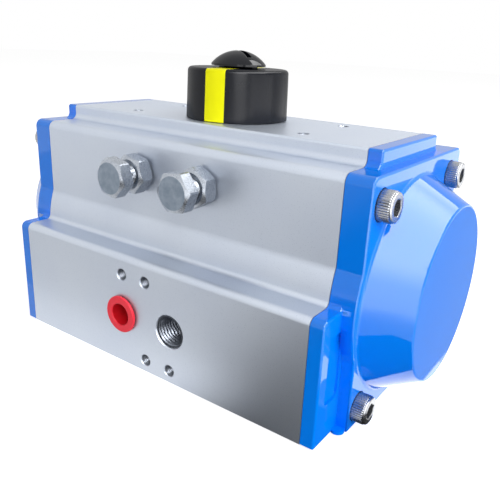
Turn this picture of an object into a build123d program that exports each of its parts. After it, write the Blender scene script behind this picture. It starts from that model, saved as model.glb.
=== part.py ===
"""Quarter-turn pneumatic valve actuator: two opposed rack pistons turn one pinion shaft.

Millimetres. +X runs along the housing, +Z up, -Y is the side with the air ports.
The origin is on the shaft axis, on the face that sits on the valve.
At rest the pistons are together at the middle and the right-hand stop bolt limits the shaft.
"""

import os
from math import atan2, cos, degrees, pi, radians, sin, sqrt, tan

from build123d import *

os.makedirs("parts", exist_ok=True)

# Fits between pieces
running_fit = 0.05          # radial clearance of a shaft or piston ring in its bore
slip_fit = 0.02             # radial clearance of a fixed piece in its seat
working_gap = 0.3           # face clearance between pieces that move past each other
overcut = 1.0               # how far a cutting shape runs past the face that it opens

# Housing
housing_half_length = 68.5
bore_radius = 37.5
floor_height = 5.1          # from the valve face up to the bore
roof_height = 12.2          # from the bore up to the top mounting pad
pad_rise = 5.8              # top of the pad above the shoulders
bore_wall = 3.9             # wall behind the round bulge on the port side
back_wall = 4.5             # wall behind the flat back
port_block_wall = 15.0      # port face beyond the side of the bore
port_block_rise = 2.4       # top of the port block above the bore axis
port_block_radius = 2.6
stop_wall = 1.1             # stop bolt face beyond the side of the bore
lower_wall_lean = 1.6       # how far the wall behind the port block leans in at its foot
shoulder_radius = 3.0
pad_half_width = 24.5
pad_foot_radius = 2.5
pad_edge_radius = 1.0
back_foot_radius = 6.0
port_foot_radius = 0.8
ledge_radius = 2.0
bore_lead_in = 1.0

# Valve interface under the housing
valve_circle_small = 50.0
valve_circle_large = 70.0
small_tap_radius = 2.5
small_tap_depth = 7.5
large_tap_radius = 3.4
large_tap_depth = 11.0

# Accessory interface on top
top_spacing_x = 80.0
top_spacing_y = 30.0
top_tap_radius = 2.1
top_tap_depth = 8.0

# Air ports and the holes of the pilot valve pattern
port_spacing = 24.0
port_height = 21.2
port_radius = 5.9
port_depth = 13.0
port_mouth_chamfer = 0.9
pilot_hole_x = 12.0
pilot_hole_z = 16.0
pilot_tap_radius = 2.1
pilot_tap_depth = 8.5
tap_mouth_chamfer = 0.4
air_passage_radius = 2.0
gallery_radius = 2.5
gallery_wall = 5.5          # gallery axis beyond the side of the bore
gallery_rise = 10.3         # gallery axis above the ports
gallery_slot_width = 4.0
gallery_slot_depth = 2.5

# End caps
flange_thickness = 5.1
flange_clear_bottom = 0.2   # the caps stay above the valve face
block_thickness = 4.3       # the thicker plate on the flange
dome_inset = 2.2            # dome's foot inside the housing's bulge
dome_taper = 8.0            # how much the dome narrows towards its end
dome_height = 15.3
dome_edge_radius = 1.0
dome_foot_radius = 1.6
cap_edge_radius = 0.8
cap_side_wall = 6.4
cap_end_wall = 5.0
cavity_taper = 5.5
cavity_corner_radius = 4.0
relief_depth = 0.8
relief_width = 8.5
relief_length = 24.0
relief_inset = 8.8          # middle of the relief inside the port face
relief_z = 26.0
foot_pad_radius = 2.4       # a low round pad in the corner of flange and plate
foot_pad_height = 1.3
foot_pad_inset = 1.2        # its middle, out from both faces

# Cap seal: a flat moulded ring with a lobe round the air gallery
seal_land = 0.2             # between the bore's lead-in and the seal
seal_width = 1.6
seal_thickness = 1.5
seal_lobe_radius = 3.9

# Cap screws
screw_y = 31.4
screw_inset_z = 2.6         # screw axes inside the top and bottom of the bore
screw_radius = 3.0
screw_length = 20.0
screw_head_radius = 5.0
screw_head_height = 6.0
screw_key_width = 5.0
screw_key_depth = 3.0
screw_head_edge = 0.5
pocket_radius = 5.3
pocket_depth = 1.1
screw_hole_depth = 14.0

# Pinion shaft
gear_module = 1.5
pinion_teeth = 20
pressure_angle = 20.0
tooth_backlash = 0.08       # taken off each flank at the pitch line
root_factor = 1.25
shaft_end_gap = 0.5         # the shaft end stays above the valve face
lower_journal_radius = 17.0
lower_journal_top = 12.0
lower_bore_clearance = 0.15
neck_wall = 0.6             # round the corners of the drive socket
neck_length = 3.0
shaft_shoulder_length = 4.0
shaft_shoulder_step = 1.0   # shoulder under the cam beyond the root of the teeth
upper_journal_radius = 11.0
cam_seat_step = 0.5         # how much wider the cam's seat is than the upper journal
cam_seat_flats = 20.0
cam_thickness = 5.0
drive_square = 17.0
drive_depth = 19.0
drive_corner_radius = 0.6
shaft_reach = 16.7          # shaft end above the top pad
spigot_gap = 1.25           # between the snap ring and the foot of the spigot
spigot_radius = 8.5
spigot_flats = 14.0
shaft_slot_width = 4.0
shaft_slot_depth = 4.0
shaft_screw_hole_radius = 2.62
shaft_screw_hole_depth = 14.0

# Rings round the shaft
lower_seal_bottom = 1.1
lower_seal_cord = 1.5
lower_bearing_bottom = 3.4
lower_bearing_height = 1.7
lower_bearing_groove = 1.4
spotface_depth = 1.0        # flat for the bush flange, above the top of the bore
bush_wall = 1.35
bush_flange_step = 1.0
bush_flange_thickness = 1.8
bush_seal_gap = 0.8
upper_seal_drop = 4.0       # foot of the upper seal's groove below the top pad
upper_seal_cord = 1.8
groove_room = 0.4           # how much wider a seal groove is than its cord
spacer_wall = 2.2
thrust_ring_wall = 4.5
thrust_ring_thickness = 1.0
support_washer_thickness = 1.0
retaining_ring_wall = 2.6
retaining_ring_thickness = 1.2
retaining_groove_depth = 0.8
retaining_ring_gap = 7.0

# Stop cam and stop bolts
stop_bolt_x = 15.0
stop_bolt_inset = 6.6       # bolt axes below the top of the bore
stop_contact_y = 8.0        # where the bolt tips meet the cam, from the shaft axis
cam_drop = 0.5              # middle of the cam below the bolt axes
cam_lobe_radius = 17.0
cam_base_wall = 1.5
bolt_radius = 4.0
bolt_head_flats = 13.0
bolt_head_thickness = 5.3
bolt_head_gap = 10.4        # from the stop face to the underside of the head
bolt_point_radius = 3.0
bolt_point_length = 4.0
nut_flats = 13.0
nut_thickness = 6.5
left_hex_turns = (6.0, 9.0)      # how the bolt head and the nut happen to stand
right_hex_turns = (12.0, 33.0)
hex_chamfer = 0.9
underside_chamfer = 0.3
stop_seal_cord = 1.8

# Pistons
rack_end_gap = 0.7          # from the end of a rack to the other piston at rest
piston_thickness = 13.0
piston_clearance = 0.15
piston_seal_offset = 3.2    # from the outer face to the groove's middle
piston_seal_cord = 3.0
guide_ring_offset = 8.4
guide_ring_width = 3.6
guide_ring_thickness = 1.6
rack_half_height = 13.0
rack_clearance = 1.3        # back of the rack inside the bore
rack_teeth = 8
rack_teeth_past_shaft = 6   # how many of them lie beyond the shaft axis at rest
rack_end_margin = 1.0       # rack past its last tooth
rack_guide_height = 9.0
rack_guide_depth = 1.6
rack_guide_length = 20.0
rack_guide_inset = 3.0
spring_seat_radius = 6.0
spring_seat_circle = 21.0
spring_seat_count = 5
spring_seat_depth = 5.0

# Position indicator
indicator_radius = 20.0
indicator_draft = 0.4       # how much the indicator narrows towards its top
indicator_cover = 2.5       # top of the indicator above the shaft end
indicator_edge_radius = 1.5
indicator_wall = 2.2
indicator_roof = 2.2
indicator_hub_wall = 2.6
indicator_hub_gap = 0.6     # between the foot of the spigot and the hub
indicator_turn = 11.0       # the indicator sits a little turned on the shaft
rib_thickness = 1.4
rib_drop = 2.0
stripe_width = 8.0
stripe_thickness = 1.0
knob_radius = 10.6
knob_rim = 0.7
knob_height = 5.7
knob_neck_radius = 7.5
knob_neck_height = 0.8
knob_slot_width = 2.0
knob_slot_depth = 2.4
knob_slot_turn = -22.0
knob_shank_radius = 2.6
knob_shank_length = 13.5

# Port plug
plug_flange_radius = 7.3
plug_flange_thickness = 1.2
plug_wall = 1.5
plug_length = 9.0
plug_floor = 1.2

# Sizes that follow from the ones above
pitch_radius = gear_module * pinion_teeth / 2
tooth_pitch = pi * gear_module
base_radius = pitch_radius * cos(radians(pressure_angle))
tip_radius = pitch_radius + gear_module
root_radius = pitch_radius - root_factor * gear_module
rack_root_y = pitch_radius + root_factor * gear_module

bore_height = floor_height + bore_radius
bore_top = bore_height + bore_radius
bulge_radius = bore_radius + bore_wall
pad_height = bore_top + roof_height
shoulder_height = pad_height - pad_rise
port_block_height = bore_height + port_block_rise
port_face_y = bore_radius + port_block_wall
back_face_y = bore_radius + back_wall
stop_face_y = bore_radius + stop_wall
lower_wall_y = stop_face_y - lower_wall_lean
gallery_y = bore_radius + gallery_wall
gallery_height = port_height + gallery_rise
screw_z = bore_radius - screw_inset_z
seal_inner_radius = bore_radius + bore_lead_in + seal_land

flange_face_x = housing_half_length + flange_thickness
block_face_x = flange_face_x + block_thickness
cap_end_x = block_face_x + dome_height
pocket_floor_x = block_face_x - pocket_depth
dome_base_radius = bulge_radius - dome_inset
dome_top_radius = dome_base_radius - dome_taper
cavity_radius = dome_base_radius - cap_side_wall
cavity_top_radius = cavity_radius - cavity_taper
cavity_end_x = cap_end_x - cap_end_wall

neck_radius = drive_square / sqrt(2) + neck_wall
lower_bore_radius = lower_journal_radius + lower_bore_clearance
stop_bolt_z = bore_top - stop_bolt_inset
cam_bottom = stop_bolt_z - cam_drop - cam_thickness / 2
cam_top = cam_bottom + cam_thickness
cam_seat_radius = upper_journal_radius + cam_seat_step
cam_base_radius = cam_seat_radius + cam_base_wall
teeth_top = cam_bottom - shaft_shoulder_length
spotface_top = bore_top + spotface_depth
bush_flange_bottom = spotface_top - bush_flange_thickness
bush_sleeve_radius = upper_journal_radius + running_fit + bush_wall
bush_flange_radius = bush_sleeve_radius + bush_flange_step
upper_bore_radius = bush_sleeve_radius + slip_fit
upper_seal_bottom = pad_height - upper_seal_drop
bush_sleeve_top = upper_seal_bottom - bush_seal_gap
thrust_ring_radius = upper_journal_radius + thrust_ring_wall
support_washer_bottom = pad_height + thrust_ring_thickness + running_fit
retaining_ring_bottom = support_washer_bottom + support_washer_thickness
retaining_ring_top = retaining_ring_bottom + retaining_ring_thickness
retaining_ring_radius = upper_journal_radius + retaining_ring_wall
retaining_groove_radius = upper_journal_radius - retaining_groove_depth

bolt_underside_y = stop_face_y + bolt_head_gap
bolt_tip_y = stop_contact_y + working_gap
nut_inner_y = stop_face_y + working_gap

rack_end_x = rack_teeth_past_shaft * tooth_pitch + rack_end_margin
rack_outer_radius = bore_radius - rack_clearance
piston_inner_x = rack_end_x + rack_end_gap

spigot_bottom = retaining_ring_top + spigot_gap
shaft_top = pad_height + shaft_reach
indicator_bottom = pad_height + working_gap
indicator_top = shaft_top + indicator_cover
indicator_top_radius = indicator_radius - indicator_draft
indicator_hub_bottom = spigot_bottom + indicator_hub_gap
knob_bottom = indicator_top + knob_neck_height
knob_top = knob_bottom + knob_height
knob_shank_end = indicator_top - knob_shank_length


def corners(sketch, points):
    """The sketch's corners that lie at the given points."""
    return [min(sketch.vertices(), key=lambda v: abs(v.X - x) + abs(v.Y - y)) for x, y in points]


def block_section(foot):
    """The outline of the thicker plate on an end cap: y to the right, z up, from a foot height."""
    with BuildSketch() as outline:
        with BuildLine():
            Polyline((-stop_face_y, shoulder_height), (-stop_face_y, bore_height), (-lower_wall_y, foot),
                     (back_face_y, foot), (back_face_y, shoulder_height), close=True)
        make_face()
        with Locations((0, bore_height)):
            Circle(bulge_radius)
        shoulders = [(-stop_face_y, shoulder_height), (back_face_y, shoulder_height)]
        fillet(corners(outline, shoulders), shoulder_radius)
        fillet(corners(outline, [(back_face_y, foot)]), back_foot_radius)
    return outline.sketch


def cross_section(foot=0.0):
    """The housing's outline: the block outline with the port block and the top pad."""
    with BuildSketch() as outline:
        add(block_section(foot))
        with Locations((0, foot)):
            Rectangle(port_face_y, port_block_height - foot, align=(Align.MAX, Align.MIN))
        with Locations((0, bore_height)):
            Rectangle(2 * pad_half_width, pad_height - bore_height, align=(Align.CENTER, Align.MIN))
        ledge_y = -sqrt(bulge_radius**2 - (port_block_height - bore_height) ** 2)
        fillet(corners(outline, [(-port_face_y, port_block_height)]), port_block_radius)
        fillet(corners(outline, [(ledge_y, port_block_height)]), ledge_radius)
        fillet(corners(outline, [(-port_face_y, foot)]), port_foot_radius)
        feet = [(side * pad_half_width, shoulder_height) for side in (-1, 1)]
        fillet(corners(outline, feet), pad_foot_radius)
        pad_edges = [(side * pad_half_width, pad_height) for side in (-1, 1)]
        fillet(corners(outline, pad_edges), pad_edge_radius)
    return outline.sketch


def seal_section(slack=0.0):
    """The cap seal's shape: a ring round the bore that also encloses the air gallery."""
    with BuildSketch() as loop:
        for grow, how in ((seal_width + slack, Mode.ADD), (-slack, Mode.SUBTRACT)):
            with Locations((0, bore_height)):
                Circle(seal_inner_radius + grow, mode=how)
            with Locations((-gallery_y, gallery_height)):
                Circle(seal_lobe_radius + grow, mode=how)
    return loop.sketch


def flatted_circle(radius, flats):
    """A circle with two parallel flats, as on a keyed shaft."""
    with BuildSketch() as shape:
        Circle(radius)
        Rectangle(flats, 2 * radius, mode=Mode.INTERSECT)
    return shape.sketch


def ring(bottom, height, inner, outer):
    """A flat ring round the shaft axis."""
    with BuildPart() as washer:
        with BuildSketch(Plane.XY.offset(bottom)):
            Circle(outer)
            Circle(inner, mode=Mode.SUBTRACT)
        extrude(amount=height)
    return washer


def round_seal(plane, mean_radius, cord):
    """A round-section sealing ring about the normal of a plane."""
    with BuildPart() as seal:
        with BuildSketch(Plane(origin=plane.origin, x_dir=plane.x_dir, z_dir=-plane.y_dir)):
            with Locations((mean_radius, 0)):
                Circle(cord / 2)
        revolve(axis=Axis(plane.origin, plane.z_dir))
    return seal


def hexagon(plane, flats, thickness, turn, near_chamfer):
    """A bolt head or nut that grows from a plane, with its corners turned off at both ends."""
    corner_radius = flats / sqrt(3)
    with BuildPart() as block:
        with BuildSketch(plane):
            RegularPolygon(flats / 2, 6, major_radius=False, rotation=turn)
        extrude(amount=thickness)
        with BuildSketch(Plane(origin=plane.origin, x_dir=plane.x_dir, z_dir=-plane.y_dir)):
            with BuildLine():
                Polyline((0, 0), (corner_radius - near_chamfer, 0), (corner_radius, near_chamfer / 2),
                         (corner_radius, thickness - hex_chamfer / 2), (corner_radius - hex_chamfer, thickness),
                         (0, thickness), close=True)
            make_face()
        revolve(axis=Axis(plane.origin, plane.z_dir), mode=Mode.INTERSECT)
    return block


def screw_places():
    """The four cap screw axes in the plane across the housing."""
    return [(y, bore_height + z) for y in (-screw_y, screw_y) for z in (-screw_z, screw_z)]


# Housing: one extrusion, bored and drilled
across = Plane.YZ
left_end = across.offset(-housing_half_length)
port_plane = Plane(origin=(0, -port_face_y, 0), x_dir=(1, 0, 0), z_dir=(0, -1, 0))
stop_plane = Plane(origin=(0, -stop_face_y, 0), x_dir=(1, 0, 0), z_dir=(0, -1, 0))

with BuildPart() as body:
    with BuildSketch(left_end):
        add(cross_section())
    extrude(amount=2 * housing_half_length)
    with BuildSketch(left_end):
        with Locations((0, bore_height)):
            Circle(bore_radius)
    extrude(amount=2 * housing_half_length, mode=Mode.SUBTRACT)
    mouths = body.edges().filter_by(GeomType.CIRCLE).filter_by(lambda e: abs(e.radius - bore_radius) < slip_fit)
    chamfer(mouths, bore_lead_in)
    # Shaft holes, with a flat for the bush flange inside the roof
    with BuildSketch(Plane.XY):
        Circle(lower_bore_radius)
    extrude(amount=bore_height, mode=Mode.SUBTRACT)
    with BuildSketch(Plane.XY.offset(bore_height)):
        Circle(upper_bore_radius)
    extrude(amount=pad_height - bore_height, mode=Mode.SUBTRACT)
    with BuildSketch(Plane.XY.offset(bore_height)):
        Circle(bush_flange_radius + slip_fit)
    extrude(amount=spotface_top - bore_height, mode=Mode.SUBTRACT)
    # Valve interface
    with BuildSketch(Plane.XY):
        with PolarLocations(valve_circle_small / 2, 4, start_angle=45):
            Circle(small_tap_radius)
    extrude(amount=small_tap_depth, mode=Mode.SUBTRACT)
    with BuildSketch(Plane.XY):
        with PolarLocations(valve_circle_large / 2, 4, start_angle=45):
            Circle(large_tap_radius)
    extrude(amount=large_tap_depth, mode=Mode.SUBTRACT)
    # Accessory interface
    with BuildSketch(Plane.XY.offset(pad_height)):
        with GridLocations(top_spacing_x, top_spacing_y, 2, 2):
            Circle(top_tap_radius)
    extrude(amount=-top_tap_depth, mode=Mode.SUBTRACT)
    # Air ports and pilot valve holes
    with BuildSketch(port_plane):
        with Locations((0, port_height)):
            with GridLocations(port_spacing, 0, 2, 1):
                Circle(port_radius)
    extrude(amount=-port_depth, mode=Mode.SUBTRACT)
    pilot_holes = [(-pilot_hole_x, pilot_hole_z), (0, pilot_hole_z), (0, -pilot_hole_z), (pilot_hole_x, -pilot_hole_z)]
    with BuildSketch(port_plane):
        with Locations(*[(x, port_height + z) for x, z in pilot_holes]):
            Circle(pilot_tap_radius)
    extrude(amount=-pilot_tap_depth, mode=Mode.SUBTRACT)
    # The left port feeds the chamber between the pistons
    with BuildSketch(port_plane):
        with Locations((-port_spacing / 2, port_height)):
            Circle(air_passage_radius)
    extrude(amount=-(port_face_y - bore_radius / 2), mode=Mode.SUBTRACT)
    # The right port feeds the gallery, which opens into the bore at both ends
    with BuildSketch(Plane.XY.offset(port_height)):
        with Locations((port_spacing / 2, -gallery_y)):
            Circle(air_passage_radius)
    extrude(amount=gallery_height - port_height, mode=Mode.SUBTRACT)
    with BuildSketch(left_end):
        with Locations((-gallery_y, gallery_height)):
            Circle(gallery_radius)
    extrude(amount=2 * housing_half_length, mode=Mode.SUBTRACT)
    gallery_turn = degrees(atan2(gallery_height - bore_height, -gallery_y))
    for end in (-1, 1):
        with BuildSketch(across.offset(end * housing_half_length)):
            with Locations(Location((-gallery_y, gallery_height), gallery_turn + 180)):
                Rectangle(gallery_y - bore_radius + gallery_radius, gallery_slot_width,
                          align=(Align.MIN, Align.CENTER))
        extrude(amount=-end * gallery_slot_depth, mode=Mode.SUBTRACT)
    # Tapped holes for the cap screws
    for end in (-1, 1):
        with BuildSketch(across.offset(end * housing_half_length)):
            with Locations(*screw_places()):
                Circle(screw_radius + slip_fit)
        extrude(amount=-end * screw_hole_depth, mode=Mode.SUBTRACT)
    # Stop bolt holes and the counterbores of their seals
    with BuildSketch(stop_plane):
        with Locations((-stop_bolt_x, stop_bolt_z), (stop_bolt_x, stop_bolt_z)):
            Circle(bolt_radius + running_fit)
    extrude(amount=-stop_face_y, mode=Mode.SUBTRACT)
    with BuildSketch(stop_plane):
        with Locations((-stop_bolt_x, stop_bolt_z), (stop_bolt_x, stop_bolt_z)):
            Circle(bolt_radius + running_fit + stop_seal_cord)
    extrude(amount=-stop_seal_cord, mode=Mode.SUBTRACT)
    # Countersunk mouths
    on_port_face = body.edges().filter_by(GeomType.CIRCLE).filter_by_position(
        Axis.Y, -port_face_y - slip_fit, -port_face_y + slip_fit)
    chamfer(on_port_face.filter_by(lambda e: abs(e.radius - port_radius) < slip_fit), port_mouth_chamfer)
    chamfer(on_port_face.filter_by(lambda e: abs(e.radius - pilot_tap_radius) < slip_fit), tap_mouth_chamfer)
body.part.label = "body"
export_step(body.part, "parts/body.step")


# End caps: flange, thicker plate and domed end, hollow inside
with BuildPart() as right_end_cap:
    with BuildSketch(across.offset(housing_half_length)):
        add(cross_section(flange_clear_bottom))
    extrude(amount=flange_thickness)
    fillet(right_end_cap.faces().sort_by(Axis.X)[-1].outer_wire().edges(), cap_edge_radius)
    with BuildSketch(across.offset(housing_half_length)):
        add(block_section(flange_clear_bottom))
    extrude(amount=flange_thickness + block_thickness)
    fillet(right_end_cap.faces().sort_by(Axis.X)[-1].outer_wire().edges(), cap_edge_radius)
    with BuildSketch(Plane.XZ):
        # The flank leaves the plate with a round foot and ends in a round edge
        flank_slope = atan2(dome_base_radius - dome_top_radius, dome_height)
        foot_reach = dome_base_radius + dome_foot_radius * tan((pi / 2 - flank_slope) / 2) + slip_fit
        with BuildLine():
            Polyline((flange_face_x, bore_height), (flange_face_x, bore_height + foot_reach),
                     (block_face_x, bore_height + foot_reach), (block_face_x, bore_height + dome_base_radius),
                     (cap_end_x, bore_height + dome_top_radius), (cap_end_x, bore_height), close=True)
        make_face()
        at_plate = vertices().filter_by_position(Axis.X, block_face_x - slip_fit, block_face_x + slip_fit)
        fillet(at_plate.sort_by(Axis.Y)[0], dome_foot_radius)
        fillet(vertices().sort_by(Axis.X)[-2:].sort_by(Axis.Y)[-1], dome_edge_radius)
    revolve(axis=Axis((0, 0, bore_height), (1, 0, 0)))
    with BuildSketch(Plane.XZ):
        with BuildLine():
            Polyline((housing_half_length, bore_height), (housing_half_length, bore_height + cavity_radius),
                     (cavity_end_x, bore_height + cavity_top_radius), (cavity_end_x, bore_height), close=True)
        make_face()
        cavity_corner = vertices().sort_by(Axis.X)[-2:].sort_by(Axis.Y)[-1]
        fillet(cavity_corner, cavity_corner_radius)
    revolve(axis=Axis((0, 0, bore_height), (1, 0, 0)), mode=Mode.SUBTRACT)
    with BuildSketch(across.offset(housing_half_length)):
        add(seal_section(slip_fit))
    extrude(amount=seal_thickness + slip_fit, mode=Mode.SUBTRACT)
    with BuildSketch(across.offset(housing_half_length)):
        with Locations(*screw_places()):
            Circle(screw_radius + running_fit)
    extrude(amount=flange_thickness + block_thickness, mode=Mode.SUBTRACT)
    with BuildSketch(across.offset(pocket_floor_x)):
        with Locations(*screw_places()):
            Circle(pocket_radius)
    extrude(amount=dome_height, mode=Mode.SUBTRACT)
    with BuildSketch(across.offset(flange_face_x)):
        with Locations((relief_inset - port_face_y, relief_z)):
            RectangleRounded(relief_width, relief_length, relief_width / 4)
    extrude(amount=-relief_depth, mode=Mode.SUBTRACT)
    with BuildSketch(Plane.XY.offset(flange_clear_bottom)):
        with Locations((flange_face_x + foot_pad_inset, -lower_wall_y - foot_pad_inset)):
            Circle(foot_pad_radius)
    extrude(amount=foot_pad_height)
right_end_cap.part.label = "right_end_cap"
export_step(right_end_cap.part, "parts/right_end_cap.step")

with BuildPart() as left_end_cap:
    mirror(right_end_cap.part, about=Plane.YZ)
left_end_cap.part.label = "left_end_cap"
export_step(left_end_cap.part, "parts/left_end_cap.step")

for name, end in (("left_cap_seal", -1), ("right_cap_seal", 1)):
    with BuildPart() as cap_seal:
        with BuildSketch(across.offset(end * housing_half_length)):
            add(seal_section())
        extrude(amount=end * seal_thickness)
    cap_seal.part.label = name
    export_step(cap_seal.part, f"parts/{name}.step")

for name, end in (("left_cap_screws", -1), ("right_cap_screws", 1)):
    with BuildPart() as cap_screws:
        with BuildSketch(across.offset(end * pocket_floor_x)):
            with Locations(*screw_places()):
                Circle(screw_head_radius)
        extrude(amount=end * screw_head_height)
        rims = cap_screws.faces().filter_by(Axis.X).group_by(Axis.X)[-1 if end > 0 else 0]
        fillet(rims.edges(), screw_head_edge)
        with BuildSketch(across.offset(end * pocket_floor_x)):
            with Locations(*screw_places()):
                Circle(screw_radius)
        extrude(amount=-end * screw_length)
        with BuildSketch(across.offset(end * (pocket_floor_x + screw_head_height))):
            with Locations(*screw_places()):
                RegularPolygon(screw_key_width / 2, 6, major_radius=False)
        extrude(amount=-end * screw_key_depth, mode=Mode.SUBTRACT)
    cap_screws.part.label = name
    export_step(cap_screws.part, f"parts/{name}.step")


# Pinion shaft
def involute(roll, shift, hand):
    """A point on a tooth flank: the base circle unrolled by an angle, then turned to its place."""
    x = base_radius * (cos(roll) + roll * sin(roll))
    y = hand * base_radius * (sin(roll) - roll * cos(roll))
    turn = -hand * shift
    return (x * cos(turn) - y * sin(turn), x * sin(turn) + y * cos(turn))


with BuildSketch() as tooth:
    tip_roll = sqrt((tip_radius / base_radius) ** 2 - 1)
    involute_angle = tan(radians(pressure_angle)) - radians(pressure_angle)
    half_tooth = pi / (2 * pinion_teeth) - tooth_backlash / pitch_radius
    flank_shift = half_tooth + involute_angle
    flank_step_count = 5
    rolls = [tip_roll * step / flank_step_count for step in range(flank_step_count + 1)]
    with BuildLine():
        upper = Spline(*[involute(roll, flank_shift, -1) for roll in rolls])
        lower = Spline(*[involute(roll, flank_shift, 1) for roll in rolls])
        ThreePointArc(upper @ 1, (tip_radius, 0), lower @ 1)
        foot = root_radius * cos(flank_shift) - overcut
        Polyline(upper @ 0, (foot, root_radius * sin(flank_shift)), (foot, -root_radius * sin(flank_shift)),
                 lower @ 0)
    make_face()

with BuildSketch() as pinion_profile:
    Circle(root_radius)
    with PolarLocations(0, pinion_teeth):
        add(tooth.sketch)

with BuildPart() as pinion_shaft:
    with BuildSketch(Plane.XY.offset(shaft_end_gap)):
        Circle(lower_journal_radius)
    extrude(amount=lower_journal_top - shaft_end_gap)
    with BuildSketch(Plane.XY.offset(lower_journal_top)):
        Circle(neck_radius)
    extrude(amount=neck_length)
    with BuildSketch(Plane.XY.offset(lower_journal_top + neck_length)):
        add(pinion_profile.sketch)
    extrude(amount=teeth_top - lower_journal_top - neck_length)
    with BuildSketch(Plane.XY.offset(teeth_top)):
        Circle(root_radius + shaft_shoulder_step)
    extrude(amount=shaft_shoulder_length)
    with BuildSketch(Plane.XY.offset(cam_bottom)):
        add(flatted_circle(cam_seat_radius, cam_seat_flats))
    extrude(amount=cam_thickness)
    with BuildSketch(Plane.XY.offset(cam_top)):
        Circle(upper_journal_radius)
    extrude(amount=spigot_bottom - cam_top)
    with BuildSketch(Plane.XY.offset(spigot_bottom)):
        add(flatted_circle(spigot_radius, spigot_flats))
    extrude(amount=shaft_top - spigot_bottom)
    # Drive socket for the valve stem: two squares, one turned by an eighth of a turn
    with BuildSketch(Plane.XY.offset(shaft_end_gap)):
        RectangleRounded(drive_square, drive_square, drive_corner_radius)
        RectangleRounded(drive_square, drive_square, drive_corner_radius, rotation=45)
    extrude(amount=drive_depth, mode=Mode.SUBTRACT)
    # Ring grooves, cut as discs less their cores
    lower_seal_groove = (lower_seal_bottom, lower_seal_cord + groove_room, lower_journal_radius, lower_seal_cord)
    lower_bearing_slot = (lower_bearing_bottom, lower_bearing_height, lower_journal_radius, lower_bearing_groove)
    upper_seal_groove = (upper_seal_bottom, upper_seal_cord + groove_room, upper_journal_radius,
                         upper_seal_cord - (upper_bore_radius - upper_journal_radius) + running_fit)
    retaining_groove = (retaining_ring_bottom, retaining_ring_thickness, upper_journal_radius,
                        upper_journal_radius - retaining_groove_radius)
    for bottom, height, radius, depth in (lower_seal_groove, lower_bearing_slot, upper_seal_groove,
                                          retaining_groove):
        with BuildSketch(Plane.XY.offset(bottom)):
            Circle(radius + overcut)
            Circle(radius - depth, mode=Mode.SUBTRACT)
        extrude(amount=height, mode=Mode.SUBTRACT)
    # Slot and screw hole in the top end
    with BuildSketch(Plane.XY.offset(shaft_top)):
        Rectangle(2 * spigot_radius, shaft_slot_width)
    extrude(amount=-shaft_slot_depth, mode=Mode.SUBTRACT)
    with BuildSketch(Plane.XY.offset(shaft_top)):
        Circle(shaft_screw_hole_radius)
    extrude(amount=-shaft_screw_hole_depth, mode=Mode.SUBTRACT)
pinion_shaft.part.label = "pinion_shaft"
export_step(pinion_shaft.part, "parts/pinion_shaft.step")


# Stop cam: a wide lobe whose two ends meet the bolt tips a quarter turn apart
with BuildPart() as stop_cam:
    with BuildSketch(Plane.XY.offset(cam_bottom)):
        lobe_reach = sqrt(cam_lobe_radius**2 - stop_contact_y**2)
        base_reach = sqrt(cam_base_radius**2 - stop_contact_y**2)
        eighth = cos(radians(45))
        with BuildLine():
            Line((base_reach, -stop_contact_y), (lobe_reach, -stop_contact_y))
            ThreePointArc((lobe_reach, -stop_contact_y), (cam_lobe_radius * eighth, cam_lobe_radius * eighth),
                          (-stop_contact_y, lobe_reach))
            Line((-stop_contact_y, lobe_reach), (-stop_contact_y, base_reach))
            ThreePointArc((-stop_contact_y, base_reach), (-cam_base_radius * eighth, -cam_base_radius * eighth),
                          (base_reach, -stop_contact_y))
        make_face()
    extrude(amount=cam_thickness)
    with BuildSketch(Plane.XY.offset(cam_bottom)):
        add(flatted_circle(cam_seat_radius + slip_fit, cam_seat_flats + 2 * slip_fit))
    extrude(amount=cam_thickness, mode=Mode.SUBTRACT)
stop_cam.part.label = "stop_cam"
export_step(stop_cam.part, "parts/stop_cam.step")

# Rings round the shaft, from the valve side up
lower_shaft_seal = round_seal(
    Plane.XY.offset(lower_seal_bottom + (lower_seal_cord + groove_room) / 2),
    lower_bore_radius - running_fit - lower_seal_cord / 2, lower_seal_cord)
lower_shaft_seal.part.label = "lower_shaft_seal"
export_step(lower_shaft_seal.part, "parts/lower_shaft_seal.step")

lower_shaft_bearing = ring(lower_bearing_bottom, lower_bearing_height,
                           lower_journal_radius - lower_bearing_groove, lower_bore_radius - running_fit)
lower_shaft_bearing.part.label = "lower_shaft_bearing"
export_step(lower_shaft_bearing.part, "parts/lower_shaft_bearing.step")

cam_spacer = ring(cam_top, bush_flange_bottom - running_fit - cam_top,
                  upper_journal_radius + slip_fit, upper_journal_radius + spacer_wall)
cam_spacer.part.label = "cam_spacer"
export_step(cam_spacer.part, "parts/cam_spacer.step")

with BuildPart() as upper_bush:
    with BuildSketch(Plane.XY.offset(bush_flange_bottom)):
        Circle(bush_flange_radius)
    extrude(amount=bush_flange_thickness)
    with BuildSketch(Plane.XY.offset(spotface_top)):
        Circle(bush_sleeve_radius)
    extrude(amount=bush_sleeve_top - spotface_top)
    with BuildSketch(Plane.XY.offset(bush_flange_bottom)):
        Circle(upper_journal_radius + running_fit)
    extrude(amount=bush_sleeve_top - bush_flange_bottom, mode=Mode.SUBTRACT)
upper_bush.part.label = "upper_bush"
export_step(upper_bush.part, "parts/upper_bush.step")

upper_shaft_seal = round_seal(
    Plane.XY.offset(upper_seal_bottom + (upper_seal_cord + groove_room) / 2),
    upper_bore_radius - running_fit - upper_seal_cord / 2, upper_seal_cord)
upper_shaft_seal.part.label = "upper_shaft_seal"
export_step(upper_shaft_seal.part, "parts/upper_shaft_seal.step")

thrust_ring = ring(pad_height, thrust_ring_thickness, upper_journal_radius + running_fit, thrust_ring_radius)
thrust_ring.part.label = "thrust_ring"
export_step(thrust_ring.part, "parts/thrust_ring.step")

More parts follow.
